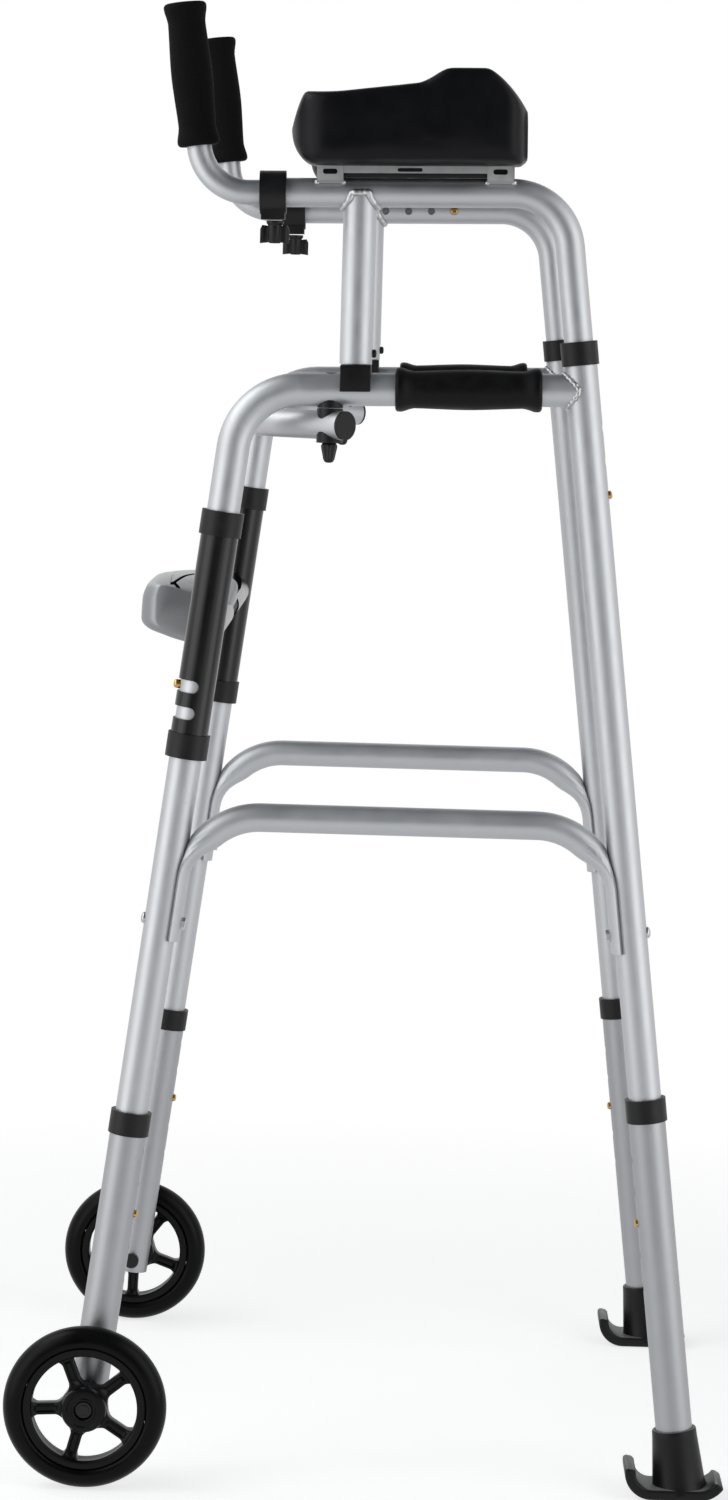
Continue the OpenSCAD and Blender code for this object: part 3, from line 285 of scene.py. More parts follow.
def speckled(name, color, spread, rough, noise, grain, metallic=0.0, soften=0.0, shine=0.5):
    mat, tree, shader = nodeMaterial(name, color, rough[0], metallic, shine)
    tone = objectNoise(tree, noise, 4)
    dark = tuple(max(0, c - spread) for c in color)
    light = tuple(min(1, c + spread) for c in color)
    shade = ramp(tree, tone.outputs["Fac"], dark, light)
    tree.links.new(shade.outputs["Color"], shader.inputs["Base Color"])
    addRoughness(tree, shader, tone, *rough)
    addGrain(tree, shader, *grain, soften)
    return mat


def paintedTopLight(name, side, litUpper, turn, metal, roughness, grain, shine=0.5):  # painted light: paler, and less metallic where the metal values differ, on faces that turn up, standing in for light from above
    mat, tree, shader = nodeMaterial(name, side, roughness, metal[0], shine)
    coords = tree.nodes.new("ShaderNodeTexCoord")
    parts = tree.nodes.new("ShaderNodeSeparateXYZ")
    tree.links.new(coords.outputs["Normal"], parts.inputs["Vector"])
    # painted light: the colour turns from the side tone to the lit upper tone as the face normal turns upward
    shade = ramp(tree, parts.outputs["Z"], side, litUpper, *turn)
    tree.links.new(shade.outputs["Color"], shader.inputs["Base Color"])
    if metal[0] != metal[1]:
        change = ramp(tree, parts.outputs["Z"], *[(m,) * 3 for m in metal], *turn)
        tree.links.new(change.outputs["Color"], shader.inputs["Metallic"])
    addRoughness(tree, shader, objectNoise(tree, 30, 4), roughness, 0.03)
    addGrain(tree, shader, *grain)
    return mat


finishes = {
    "anodised": speckled("anodisedTube", (0.495, 0.507, 0.523), spread=0.012, rough=(0.50, 0.03),
                         noise=60, grain=(2600, 0.00003), metallic=1.0, soften=0.0003),
    "extension": speckled("extensionTube", (0.385, 0.394, 0.407), spread=0.012, rough=(0.50, 0.03),
                          noise=60, grain=(2600, 0.00003), metallic=1.0, soften=0.0003),
    "black_tube": speckled("blackTube", (0.004, 0.004, 0.0045), spread=0.001, rough=(0.24, 0.03),
                           noise=40, grain=(900, 0.00003), soften=0.0004, shine=0.38),
    "black_plastic": speckled("mouldedBlack", (0.006, 0.006, 0.0068), spread=0.002, rough=(0.46, 0.05),
                              noise=70, grain=(1500, 0.00006), soften=0.0006, shine=0.3),
    "black_gloss": speckled("wheelBlack", (0.004, 0.004, 0.0045), spread=0.001, rough=(0.32, 0.04),
                            noise=50, grain=(1100, 0.00004), soften=0.0006, shine=0.16),
    "black_steel": speckled("blackBolt", (0.010, 0.010, 0.011), spread=0.003, rough=(0.38, 0.05),
                            noise=90, grain=(1600, 0.00003), metallic=0.4, soften=0.0004),
    "hub_grey": speckled("hubGrey", (0.30, 0.309, 0.32), spread=0.012, rough=(0.42, 0.03), noise=30,
                         grain=(800, 0.00003), metallic=0.7, soften=0.0006),
    # painted light: the hub is paler and less metallic on its upward faces, standing in for light falling on
    # its top
    "hub_painted_top_light": paintedTopLight("hubPaintedTopLight", (0.30, 0.309, 0.32), litUpper=(0.62, 0.625, 0.63), turn=(0.45, 0.8),
                         metal=(0.7, 0.15), roughness=0.42, grain=(800, 0.00003)),
    "grip_rubber": speckled("gripRubber", (0.0055, 0.0055, 0.006), spread=0.002, rough=(0.5, 0.06),
                            noise=80, grain=(1300, 0.00008), shine=0.15),
    # painted light: the feet turn paler grey on faces that point upward, standing in for light from above on
    # the ski's top and curl
    "foot_rubber": paintedTopLight("footRubberPaintedTopLight", (0.005, 0.005, 0.0056), litUpper=(0.20, 0.20, 0.203),
                           turn=(0.72, 0.97), metal=(0.0, 0.0), roughness=0.44, grain=(1000, 0.00007),
                           shine=0.25),
    "tyre": speckled("tyreRubber", (0.003, 0.003, 0.0034), spread=0.001, rough=(0.32, 0.05), noise=50,
                     grain=(900, 0.00005), soften=0.0004, shine=0.10),
    "pad_skin": speckled("padSkin", (0.0055, 0.0056, 0.0075), spread=0.0012, rough=(0.42, 0.03), noise=45,
                         grain=(1700, 0.00005), shine=0.15),
    "foam": speckled("gripFoam", (0.0055, 0.0055, 0.0062), spread=0.0025, rough=(0.85, 0.06), noise=700,
                     grain=(1100, 0.0004), shine=0.12),
    "brass_clip": speckled("brassClip", (0.52, 0.33, 0.12), spread=0.03, rough=(0.28, 0.05), noise=120,
                           grain=(1500, 0.00002), metallic=1.0, soften=0.0003),
    "zinc": speckled("zincPlate", (0.48, 0.49, 0.51), spread=0.03, rough=(0.30, 0.06), noise=150,
                     grain=(1800, 0.00002), metallic=1.0, soften=0.0003),
    "weld": speckled("weldBead", (0.48, 0.484, 0.492), spread=0.04, rough=(0.42, 0.06), noise=200,
                     grain=(1200, 0.00008), metallic=1.0),
    "bracket": speckled("bracketSheet", (0.60, 0.60, 0.595), spread=0.03, rough=(0.5, 0.06), noise=120,
                        grain=(1500, 0.00003), metallic=0.4),
    "holeShade": speckled("holeShade", (0.16, 0.165, 0.17), spread=0.02, rough=(0.5, 0.05), noise=120,
                          grain=(1500, 0.00002), metallic=0.6),
    # painted shade: near-black for the shadowed gap round the fold button and its fork slot
    "groove": speckled("paintedGrooveShade", (0.004, 0.004, 0.004), spread=0.001, rough=(0.6, 0.05), noise=80,
                       grain=(900, 0.00003), shine=0.1),
}

for part in frame["record"]["subparts"]:
    obj = frame["nodes"][part["node"]]
    for holder in obj.material_slots:
        holder.material = finishes["extension" if "extension" in part["node"] else part["material_slot"]]
print("materials on", len(frame["nodes"]), "CAD nodes")

# camera, floor and light

view = {"place": (3.51914, 0.02546, 0.9021), "yaw": -0.72, "pitch": -5.67, "roll": 1.6, "focal": 4264.75,
        "imageHeight": 1500, "sensor": 24.0}


def addCamera():
    yaw, pitch, roll = (math.radians(view[k]) for k in ("yaw", "pitch", "roll"))
    ahead = Vector((-math.cos(yaw) * math.cos(pitch), math.sin(yaw) * math.cos(pitch), math.sin(pitch)))
    right = Vector((math.sin(yaw), math.cos(yaw), 0))
    up = right.cross(ahead)
    x = right * math.cos(roll) + up * math.sin(roll)
    y = up * math.cos(roll) - right * math.sin(roll)
    m = Matrix((x, y, -ahead)).transposed().to_4x4()
    m.translation = view["place"]
    data = bpy.data.cameras.new("photoCamera")
    data.sensor_fit = "VERTICAL"
    data.sensor_height = view["sensor"]
    data.lens = view["focal"] * view["sensor"] / view["imageHeight"]
    data.clip_end = 50
    cam = bpy.data.objects.new("photoCamera", data)
    cam.matrix_world = m
    bpy.context.scene.collection.objects.link(cam)
    bpy.context.scene.camera = cam


studio = {"world": 0.12, "tint": (0.9, 0.99, 1.07), "floor": 0.57, "floorSpread": 0.01,
          "floorSize": 9.0, "floorDrop": 0.0005, "floorGlow": 0.70, "shadowReach": (0.55, 1.3),
          "cardGlow": 0.12, "cardSpread": 0.03}
softLights = [  # name, place, aim, width, height, watts
    ("leftStrip", (0.85, -1.1, 0.85), (0.2, 0, 0.8), 0.75, 1.75, 4.8),
    ("rightStrip", (0.85, 1.1, 0.85), (0.2, 0, 0.8), 0.75, 1.75, 4.6),
    ("leftFill", (1.05, -1.25, 0.85), (0.2, 0, 0.8), 1.9, 1.75, 2.0),
    ("rightFill", (1.05, 1.25, 0.85), (0.2, 0, 0.8), 1.9, 1.75, 2.0),
    ("highFront", (0.2, -1.5, 2.2), (0, 0, 0.7), 1.3, 1.3, 14),
]
darkCards = [  # name and corners, at the camera's side and overhead
    ("cameraCard", [(4.6, -2.4, -0.1), (4.6, 2.4, -0.1), (4.6, 2.4, 4.5), (4.6, -2.4, 4.5)]),
    ("topCard", [(-2.6, -1.9, 3.6), (4.6, -1.9, 3.6), (4.6, 1.9, 3.6), (-2.6, 1.9, 3.6)]),
]


def backgroundRays(tree):  # camera, mirrored and see-through rays meet the white background
    path = tree.nodes.new("ShaderNodeLightPath")
    total = path.outputs["Is Camera Ray"]
    for kind in ("Is Glossy Ray", "Is Transmission Ray"):
        either = tree.nodes.new("ShaderNodeMath")
        either.operation = "MAXIMUM"
        tree.links.new(total, either.inputs[0])
        tree.links.new(path.outputs[kind], either.inputs[1])
        total = either.outputs["Value"]
    return total


def addCards():  # dim cards that only reflections see
    mat = bpy.data.materials.new("darkCard")
    mat.use_nodes = True
    tree = mat.node_tree
    glow = tree.nodes.new("ShaderNodeEmission")
    glow.inputs["Strength"].default_value = studio["cardGlow"]
    tone = objectNoise(tree, 2, 2)
    spread = studio["cardSpread"]
    low, high = ([c * (1 + d) for c in studio["tint"]] for d in (-spread, spread))
    shade = ramp(tree, tone.outputs["Fac"], low, high)
    tree.links.new(shade.outputs["Color"], glow.inputs["Color"])
    tree.links.new(glow.outputs["Emission"], tree.nodes["Material Output"].inputs["Surface"])
    for name, corners in darkCards:
        card = newObject(name, corners, [(0, 1, 2, 3)], mat, 1.0)
        card.visible_camera = card.visible_diffuse = card.visible_shadow = False


def floorMaterial():  # plain floor for light and shadow, shown white away from the object
    grey, spread = studio["floor"], studio["floorSpread"]
    mat, tree, shader = nodeMaterial("paleFloor", (grey,) * 3, 0.8)
    tone = objectNoise(tree, 3, 3)
    shade = ramp(tree, tone.outputs["Fac"], (grey - spread,) * 3, (grey + spread,) * 3)
    tree.links.new(shade.outputs["Color"], shader.inputs["Base Color"])
    coords = tree.nodes.new("ShaderNodeTexCoord")
    reach = tree.nodes.new("ShaderNodeVectorMath")
    reach.operation = "LENGTH"
    tree.links.new(coords.outputs["Object"], reach.inputs[0])
    far = tree.nodes.new("ShaderNodeMapRange")
    far.inputs["From Min"].default_value, far.inputs["From Max"].default_value = studio["shadowReach"]
    tree.links.new(reach.outputs["Value"], far.inputs["Value"])
    glow = tree.nodes.new("ShaderNodeEmission")
    glow.inputs["Strength"].default_value = studio["floorGlow"]
    white = tree.nodes.new("ShaderNodeEmission")
    near = tree.nodes.new("ShaderNodeAddShader")
    tree.links.new(shader.outputs["BSDF"], near.inputs[0])
    tree.links.new(glow.outputs["Emission"], near.inputs[1])
    fade = tree.nodes.new("ShaderNodeMixShader")
    tree.links.new(far.outputs["Result"], fade.inputs["Fac"])
    tree.links.new(near.outputs["Shader"], fade.inputs[1])
    tree.links.new(white.outputs["Emission"], fade.inputs[2])
    seen = tree.nodes.new("ShaderNodeMixShader")
    tree.links.new(backgroundRays(tree), seen.inputs["Fac"])
    tree.links.new(shader.outputs["BSDF"], seen.inputs[1])
    tree.links.new(fade.outputs["Shader"], seen.inputs[2])
    tree.links.new(seen.outputs["Shader"], tree.nodes["Material Output"].inputs["Surface"])
    return mat


def addStudio():
    scene = bpy.context.scene
    scene.view_settings.view_transform = "Standard"
    world = bpy.data.worlds.new("studioWorld")
    scene.world = world
    world.use_nodes = True
    tree = world.node_tree
    dim = tree.nodes["Background"]
    dim.inputs["Color"].default_value = (*studio["tint"], 1)
    dim.inputs["Strength"].default_value = studio["world"]
    white = tree.nodes.new("ShaderNodeBackground")
    white.inputs["Color"].default_value = (1, 1, 1, 1)
    seen = tree.nodes.new("ShaderNodeMixShader")
    tree.links.new(backgroundRays(tree), seen.inputs["Fac"])
    tree.links.new(dim.outputs["Background"], seen.inputs[1])
    tree.links.new(white.outputs["Background"], seen.inputs[2])
    tree.links.new(seen.outputs["Shader"], tree.nodes["World Output"].inputs["Surface"])
    s, z = studio["floorSize"] / 2, -studio["floorDrop"]
    floor = newObject("studioFloor", [(-s, -s, z), (s, -s, z), (s, s, z), (-s, s, z)], [(0, 1, 2, 3)],
                      floorMaterial(), 1.0)
    addCards()
    for name, place, aim, w, h, power in softLights:
        data = bpy.data.lights.new(name, "AREA")
        data.shape = "RECTANGLE"
        data.size, data.size_y, data.energy = w, h, power
        lamp = bpy.data.objects.new(name, data)
        lamp.location = place
        lamp.visible_camera = False
        lamp.rotation_euler = (Vector(aim) - Vector(place)).to_track_quat("-Z", "Y").to_euler()
        scene.collection.objects.link(lamp)


addCamera()
addStudio()
print("camera and studio")

# arm pads

armPad = {
    "start": 135.5, "length": 178, "width": 92, "lift": 20.55,  # place on the rail and overall size
    "frontRise": 56, "midRise": 65, "rearRise": 77, "hollow": 9, "drawIn": 2, "squareness": 0.36,
    "nose": 19, "noseHeight": 27, "brow": 11, "browBend": 1.35, "slope": 83, "crestStart": 94, "crest": 27,
    "fallStart": 147, "fall": 31, "fallDrop": 37, "fallBend": 1.45, "tail": 5, "tailLift": 3, "thin": 0.6,
    "frontRound": 34, "rearRound": 20, "roundness": 2.6, "noseWidth": 0.02, "tailWidth": 0.3,
    "hollowIn": 40, "hollowOut": 30, "middle": 36,
    "rings": 90, "sides": 112, "voxel": 0.004, "fill": 0.95,  # mesh and filling
    "grow": 1.2, "pressure": 4.0, "cap": 0.0026, "frames": 20, "hold": 0.8,  # swelling of the skin
}


def smoothStep(t):
    c = min(1, max(0, t))
    return c * c * (3 - 2 * c)


def padPoint(y, angle):  # outline of the moulded pad, y from its front and z from its underside
    p = armPad
    n, base, front = p["length"], p["noseHeight"], p["frontRise"]
    u, v = (math.copysign(abs(c) ** p["squareness"], c) for c in (math.cos(angle), math.sin(angle)))
    nose = 1 - math.sqrt(max(0, 1 - (1 - y / p["nose"]) ** 2)) if y < p["nose"] else 0
    low = base * nose + p["tailLift"] * smoothStep((y - n + p["tail"]) / p["tail"])
    if y < p["brow"]:
        brow = base + (front - base) * (1 - (1 - y / p["brow"]) ** p["browBend"])
    else:
        brow = front + (p["midRise"] - front) * min(1, (y - p["brow"]) / p["slope"])
    crest = (p["rearRise"] - p["midRise"]) * smoothStep((y - p["crestStart"]) / p["crest"])
    fall = p["fallDrop"] * max(0, (y - p["fallStart"]) / p["fall"]) ** p["fallBend"]
    high = max(low + p["thin"], min(brow + crest, p["rearRise"] - fall))
    ahead = max(p["noseWidth"], 1 - max(0, 1 - y / p["frontRound"]) ** p["roundness"]) ** (1 / p["roundness"])
    behind = max(p["tailWidth"], 1 - max(0, (y - n + p["rearRound"]) / p["rearRound"]) ** 3) ** (1 / 3)
    half = p["width"] / 2 * min(ahead, behind)
    hollow = 0
    if v > 0:
        along = smoothStep(y / p["hollowIn"]) * smoothStep((n - y) / p["hollowOut"])
        hollow = p["hollow"] * v * (1 - u * u) * along
    z = (low + high) / 2 + v * (high - low) / 2 - hollow
    return Vector((u * (half - p["drawIn"] * (1 - v * v)), y, z))


def applyModifiers(obj):
    graph = bpy.context.evaluated_depsgraph_get()
    mesh = bpy.data.meshes.new_from_object(obj.evaluated_get(graph))
    obj.modifiers.clear()
    obj.data = mesh


def swell(obj, frames, pressure, cap):  # a short cloth run that rounds the skin, its movement capped
    scene = bpy.context.scene
    before = np.array([v.co[:] for v in obj.data.vertices])
    mod = obj.modifiers.new("swell", "CLOTH")
    s = mod.settings
    s.quality = 6
    s.mass = 0.3
    s.tension_stiffness = s.compression_stiffness = 30
    s.bending_stiffness = 2
    s.use_pressure = True
    s.uniform_pressure_force = pressure
    s.effector_weights.gravity = 0
    mod.point_cache.frame_start, mod.point_cache.frame_end = 1, frames
    for f in range(1, frames + 1):
        scene.frame_set(f)
    graph = bpy.context.evaluated_depsgraph_get()
    after = np.array([v.co[:] for v in obj.evaluated_get(graph).to_mesh().vertices])
    obj.modifiers.clear()
    move = after - before
    size = np.linalg.norm(move, axis=1, keepdims=True)
    move *= np.minimum(1, cap / np.maximum(size, 1e-9))
    obj.data.vertices.foreach_set("co", (before + move).astype(np.float32).ravel())
    obj.data.update()
    scene.frame_set(1)


def holdForm(obj, mould, share):  # draws the swollen skin back toward the moulded form
    before = np.array([v.co[:] for v in obj.data.vertices])
    wrap = obj.modifiers.new("hold", "SHRINKWRAP")
    wrap.target = mould
    wrap.wrap_method = "NEAREST_SURFACEPOINT"
    graph = bpy.context.evaluated_depsgraph_get()
    after = np.array([v.co[:] for v in obj.evaluated_get(graph).to_mesh().vertices])
    obj.modifiers.clear()
    obj.data.vertices.foreach_set("co", (before + (after - before) * share).astype(np.float32).ravel())
    obj.data.update()


def padMesh(grown, place):
    p = armPad
    middle = Vector((0, p["length"] / 2, p["middle"]))
    rings = []
    for i in range(p["rings"] + 1):
        y = p["length"] * (1 - math.cos(math.pi * i / p["rings"])) / 2
        ring = [padPoint(y, 2 * math.pi * j / p["sides"]) for j in range(p["sides"])]
        rings.append([q + (q - middle).normalized() * grown for q in ring])
    verts, faces = loft(rings)
    return [(walker["frameWidth"] / 2 + v[0], v[1] - midY, v[2]) for v in moved(verts, place)], faces


def addArmPads():
    p = armPad
    place = Matrix.Translation(railPoint(p["start"])) @ railTilt @ Matrix.Translation((0, 0, p["lift"]))
    left, mould = (newObject(name, *padMesh(grown, place), finishes["pad_skin"])
                   for name, grown in (("left_armPad", p["grow"]), ("padMould", 0.0)))
    remesh = left.modifiers.new("even", "REMESH")
    remesh.mode = "VOXEL"
    remesh.voxel_size = p["voxel"]
    relax = left.modifiers.new("relax", "SMOOTH")
    relax.factor, relax.iterations = 0.5, 2
    applyModifiers(left)
    swell(left, p["frames"], p["pressure"], p["cap"])
    finer = left.modifiers.new("finer", "SUBSURF")
    finer.levels = finer.render_levels = 1
    applyModifiers(left)
    holdForm(left, mould, p["hold"])
    bpy.data.objects.remove(mould)
    smoothShade(left, 60)
    right = bpy.data.objects.new("right_armPad", left.data.copy())
    bpy.context.scene.collection.objects.link(right)
    right.data.transform(Matrix.Scale(-1, 4, (1, 0, 0)))
    right.data.flip_normals()
    for obj, word in ((left, "left"), (right, "right")):
        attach(obj, f"{word}_arm")
        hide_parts(f"{word}_arm_pad")
    print("arm pads", len(left.data.polygons), "faces each")


addArmPads()

# hand grips and handle grips

foamGrip = {"stemY": 68.4, "lean": -7.3, "start": 35, "rightLift": 7, "length": 108, "bore": 9.6,
            "end": 16.3, "waist": 14.4, "middle": 15.8, "lip": 3.2, "steps": 72}
handleGrip = {"start": 218, "length": 112, "bore": 12.8, "end": 16.8, "waist": 14.3, "middle": 15.4,
              "lip": 2.8, "steps": 72}


def arc(cx, cy, r, start, end, count=8):
    out = []
    for i in range(count + 1):
        a = math.radians(start + (end - start) * i / count)
        out.append((cx + r * math.cos(a), cy + r * math.sin(a)))
    return out


def gripProfile(g, closedTop):  # from the bore round the flared ends and the full middle
    n, lip = g["length"], g["lip"]
    end, waist, middle = g["end"], g["waist"], g["middle"]
    side = smoothCurve([(end, lip), (end - 0.25, 6), (waist + 0.15, 13), (waist, 20), (middle, n / 2),
                        (waist, n - 20), (waist + 0.15, n - 13), (end - 0.25, n - 6), (end, n - lip)], 60)
    low = [(g["bore"], 0.6), (g["bore"] + 0.6, 0)] + arc(end - lip, lip, lip, -90, 0)
    high = arc(end - lip, n - lip, lip, 0, 90)
    top = [(7, n + 0.5), (0.01, n + 0.8)] if closedTop else [(g["bore"] + 0.6, n), (g["bore"], n - 0.6)]
    return low + side[1:-1] + high + top


def addGrips():
    g = foamGrip
    up = leanDir(g["lean"])
    foam = lathe(gripProfile(g, True), g["steps"])
    for side in sideNames:
        start = g["start"] + (g["rightLift"] if side < 0 else 0)
        place = basis(railPoint(g["stemY"]) + up * start, up)
        sidePiece("foamGrip", put(foam, place), "grip", "foam", ["foam_grip"], angle=60, sides=(side,))
    h = handleGrip
    rubber = lathe(gripProfile(h, False), h["steps"])
    place = basis(handlePoint(h["start"]), railBack, (1, 0, 0))
    sidePiece("handleGrip", put(rubber, place), "frame", "grip_rubber", ["handle_grip"], angle=60)
    print("grips")


addGrips()

# wheels

wheel = {"x": 32.0, "tyreWidth": 24, "rimDia": 96, "rimInner": 82, "rimWidth": 19, "hubDia": 35,
         "hubWidth": 28, "spokes": 5, "spokeWidth": 9.2, "spokeDepth": 11, "fillet": 4.2, "axleDia": 8.2,
         "recessDia": 15, "recess": 6.5, "angles": {1: 39, -1: 52}, "spokeEdge": 1.3, "groove": 1.5,
         "filletReach": 1.3, "rimFlare": 2.2, "hubFlare": 2.0, "ridge": (2.0, 3.0), "rings": 24}


def tyreProfile():  # (radius, offset along the axle)
    w = wheel["tyreWidth"] / 2
    crown = walker["wheelDia"] / 2 - w
    rim = wheel["rimDia"] / 2
    side = [(rim + 0.05, -w + 2.4), (rim + 0.5, -w + 1.2), (rim + 1.6, -w + 0.5), (rim + 3.0, -w + 0.15)]
    turns = [math.radians(a) for a in range(-88, 89, 4)]
    tread = [(crown + w * math.cos(a), w * math.sin(a)) for a in turns]
    return side + tread + [(r, -h) for r, h in reversed(side)]


def spokeMesh(angle):
    w = wheel
    inner, outer = w["hubDia"] / 2 - 2.5, w["rimInner"] / 2 + 1.5
    rings = []
    e = w["spokeEdge"]
    reach = w["fillet"] * w["filletReach"]
    crest, foot = w["ridge"]
    for i in range(w["rings"] + 1):
        r = inner + (outer - inner) * (i / w["rings"])
        fromHub, fromRim = r - w["hubDia"] / 2, w["rimInner"] / 2 - r
        nearHub, nearRim = max(0, 1 - fromHub / reach), max(0, 1 - fromRim / reach)
        half = w["spokeWidth"] / 2 + w["fillet"] * 0.55 * (nearHub ** 2.2 + nearRim ** 2.2)
        deep = w["spokeDepth"] / 2 + w["rimFlare"] * smoothStep(nearRim) + w["hubFlare"] * smoothStep(nearHub)
        sink = w["groove"] * min(1, max(0, (fromHub - 2) / 3)) * min(1, max(0, (fromRim - 1) / 3))
        edge = [(half, deep - e), (half - e * 0.3, deep - e * 0.3), (half - e, deep), (half - crest, deep),
                (half - foot, deep - sink)]
        outline = [(-c, d) for c, d in edge] + edge[::-1]
        outline += [(c, -d) for c, d in reversed(outline)]
        rings.append([(d, r, c) for c, d in outline])
    return put(loft(rings), Matrix.Rotation(math.radians(angle), 4, "X"))


def rimMesh(first):
    w = wheel
    lip, inner, half = w["rimDia"] / 2 - 0.1, w["rimInner"] / 2, w["rimWidth"] / 2
    ring = [(lip, -half + 0.8), (lip - 0.8, -half), (inner + 2.6, -half)]
    ring += arc(inner + 2.2, -half + 2.2, 2.2, 270, 180, 5)
    ring += [(inner + 0.8, -3), (inner + 0.8, 3)] + arc(inner + 2.2, half - 2.2, 2.2, 180, 90, 5)
    ring += [(lip - 0.8, half), (lip, half - 0.8)]
    hubR, hubH, axle, recess = w["hubDia"] / 2, w["hubWidth"] / 2, w["axleDia"] / 2, w["recessDia"] / 2
    face = hubH - w["recess"]
    hub = [(axle, -hubH), (hubR - 1.5, -hubH), (hubR - 0.4, -hubH + 0.4), (hubR, -hubH + 1.5),
           (hubR, hubH - 2.4), (hubR - 0.7, hubH - 0.7), (hubR - 2.4, hubH), (hubR - 4.2, hubH),
           (hubR - 4.9, hubH - 0.8),
           (recess + 2.1, hubH - 0.8), (recess + 1.5, hubH), (recess + 0.4, hubH), (recess, hubH - 0.4),
           (recess, face), (axle, face)]
    parts = [put(lathe(ring, 96, True), toAxle), put(lathe(hub, 72, True), toAxle)]
    parts += [spokeMesh(first + i * 360 / w["spokes"]) for i in range(w["spokes"])]
    return joined(*parts)


def addWheels():
    w = wheel
    centre = Vector((walker["frameWidth"] / 2 + w["x"], -midY, axleHeight))
    tyre = put(lathe(tyreProfile(), 128, True), toAxle)
    for side, word in sideNames.items():
        for name, (verts, faces), slot, node in (
                ("tyre", tyre, "tyre", "tyre"),
                ("wheelRim", rimMesh(w["angles"][side]), "black_gloss", "wheel_rim")):
            placed = [(side * (centre.x + v[0]), centre.y + v[1], centre.z + v[2]) for v in verts]
            obj = newObject(f"{word}_{name}", placed, faces, finishes[slot])
            smoothShade(obj, 38)
            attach(obj, f"{word}_wheel")
            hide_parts(f"{word}_{node}")
    print("wheels")


addWheels()

# glide feet

glideFoot = {"width": 44, "thick": 8.5, "front": 23, "curlRadius": 21.5, "curlTurn": 100, "edge": 2.2,
             "socketTop": 53, "topDia": 33.4, "baseDia": 41, "bore": 28.9, "floor": 12, "socketLow": 4.6,
             "endDraw": 5, "endEdge": 2.0, "curlSteps": 18, "lipSteps": 14,
             "softEnd": ((0.0, 0.55), (0.6, 0.8), (1.6, 0.95))}  # from the tip, share of thickness


def footPath():  # centre line of the ski in y and z, with its direction, from curl to lip
    f = glideFoot
    half = f["thick"] / 2
    y0, y1 = walker["stance"] - f["front"], walker["stance"] + walker["skiRear"]
    path = []

    def addBend(y, radius, start, turn, steps):
        for i in range(steps + 1):
            a = math.radians(start + turn * i / steps)
            r = radius - half
            path.append((y + r * math.cos(a), radius + r * math.sin(a), -math.sin(a), math.cos(a)))

    addBend(y0, f["curlRadius"], -90 - f["curlTurn"], f["curlTurn"], f["curlSteps"])
    path.append(((y0 + y1) / 2, half, 1, 0))
    addBend(y1, walker["lipRadius"], -90, walker["lipTurn"], f["lipSteps"])
    return path


def skiRing(y, z, dy, dz, w, t, e):  # rounded section of the ski at a point of its path
    return [(c, y - dz * d, z + dy * d) for c, d in roundedRect(w, t, e, 4)]


def skiEnd(spot, way):  # softened rings of a free end, from its tip inward
    f = glideFoot
    y, z, dy, dz = spot
    return [skiRing(y + way * dy * cut, z + way * dz * cut, dy, dz, f["width"] - f["endDraw"] * (1 - share),
                    f["thick"] * share, f["endEdge"] * share) for cut, share in f["softEnd"]]


def addFeet():
    f = glideFoot
    path = footPath()
    flat = [skiRing(*spot, f["width"], f["thick"], f["edge"]) for spot in path[1:-1]]
    ski = loft(skiEnd(path[0], 1) + flat + skiEnd(path[-1], -1)[::-1])
    along = 1 / math.cos(math.radians(walker["rearLean"]))
    top, base = f["topDia"] / 2, f["baseDia"] / 2
    h = f["socketTop"] * along
    low = f["socketLow"]
    bore = f["bore"] / 2
    profile = [(0.01, low), (base + 2.2, low), (base + 1.0, 8.2), (base, 11.5), (top + 0.8, h - 6),
               (top + 0.6, h - 1.4), (top + 0.2, h - 0.4), (top - 0.6, h), (bore + 0.4, h), (bore, h - 0.5),
               (bore, f["floor"]), (0.01, f["floor"])]
    socket = put(lathe(profile, 72), basis(rearPoint(0), rearUp))
    sidePiece("glideFoot", joined(ski, socket), "rear_leg", "foot_rubber", ["glide_foot"], angle=42)
    print("glide feet")


addFeet()

# fold hub and its button

foldHub = {"half": 62, "gap": 7.0, "frontGap": 0.3, "proud": 0.15, "deep": 14, "thick": 7,
           "outline": [  # y, z at the middle, y, z at the end face, share of the half width kept straight
               (14.2, 664, 28, 664, 0.66), (15.0, 657, 29, 658, 0.66), (21.6, 651.4, 32, 654, 0.70),
               (33.6, 647.4, 38, 651.6, 0.8), (44.9, 644.0, 47, 648.8, 0.86), (60, 640.8, 60, 645.4, 0.88),
               (68, 639.6, 66, 644, 0.88), (73, 641, 69, 645.6, 0.88), (78, 648, 73, 652, 0.88),
               (85, 664, 80, 663, 0.8), (90, 676, 83, 667, 0.6), (92.6, 686, 84, 669.2, 0.42),
               (91.8, 691.6, 83.5, 670.4, 0.42), (87, 695.8, 81, 671.6, 0.42), (78, 696.6, 75, 674, 0.42),
               (66, 696.7, 67, 677, 0.42), (53.6, 696.4, 57, 681, 0.42), (44, 695.8, 49, 684, 0.42),
               (34.7, 694.8, 42, 686.4, 0.42), (26.6, 693.2, 36, 688, 0.46), (20.0, 689.8, 31, 687.6, 0.54),
               (16.2, 682.7, 28.5, 682, 0.62), (14.5, 674, 28, 674, 0.66)],
           "button": [(38.5, 55.5), (40.6, 54.2), (43, 48), (46, 41), (50.5, 32), (55.5, 26), (65, 25),
                      (78, 26), (86, 29)],
           "spur": (55, 40.4, 61.5, 45.2, 1.9), "spurSink": -2, "cutTop": (16, 9), "rim": 2.5}


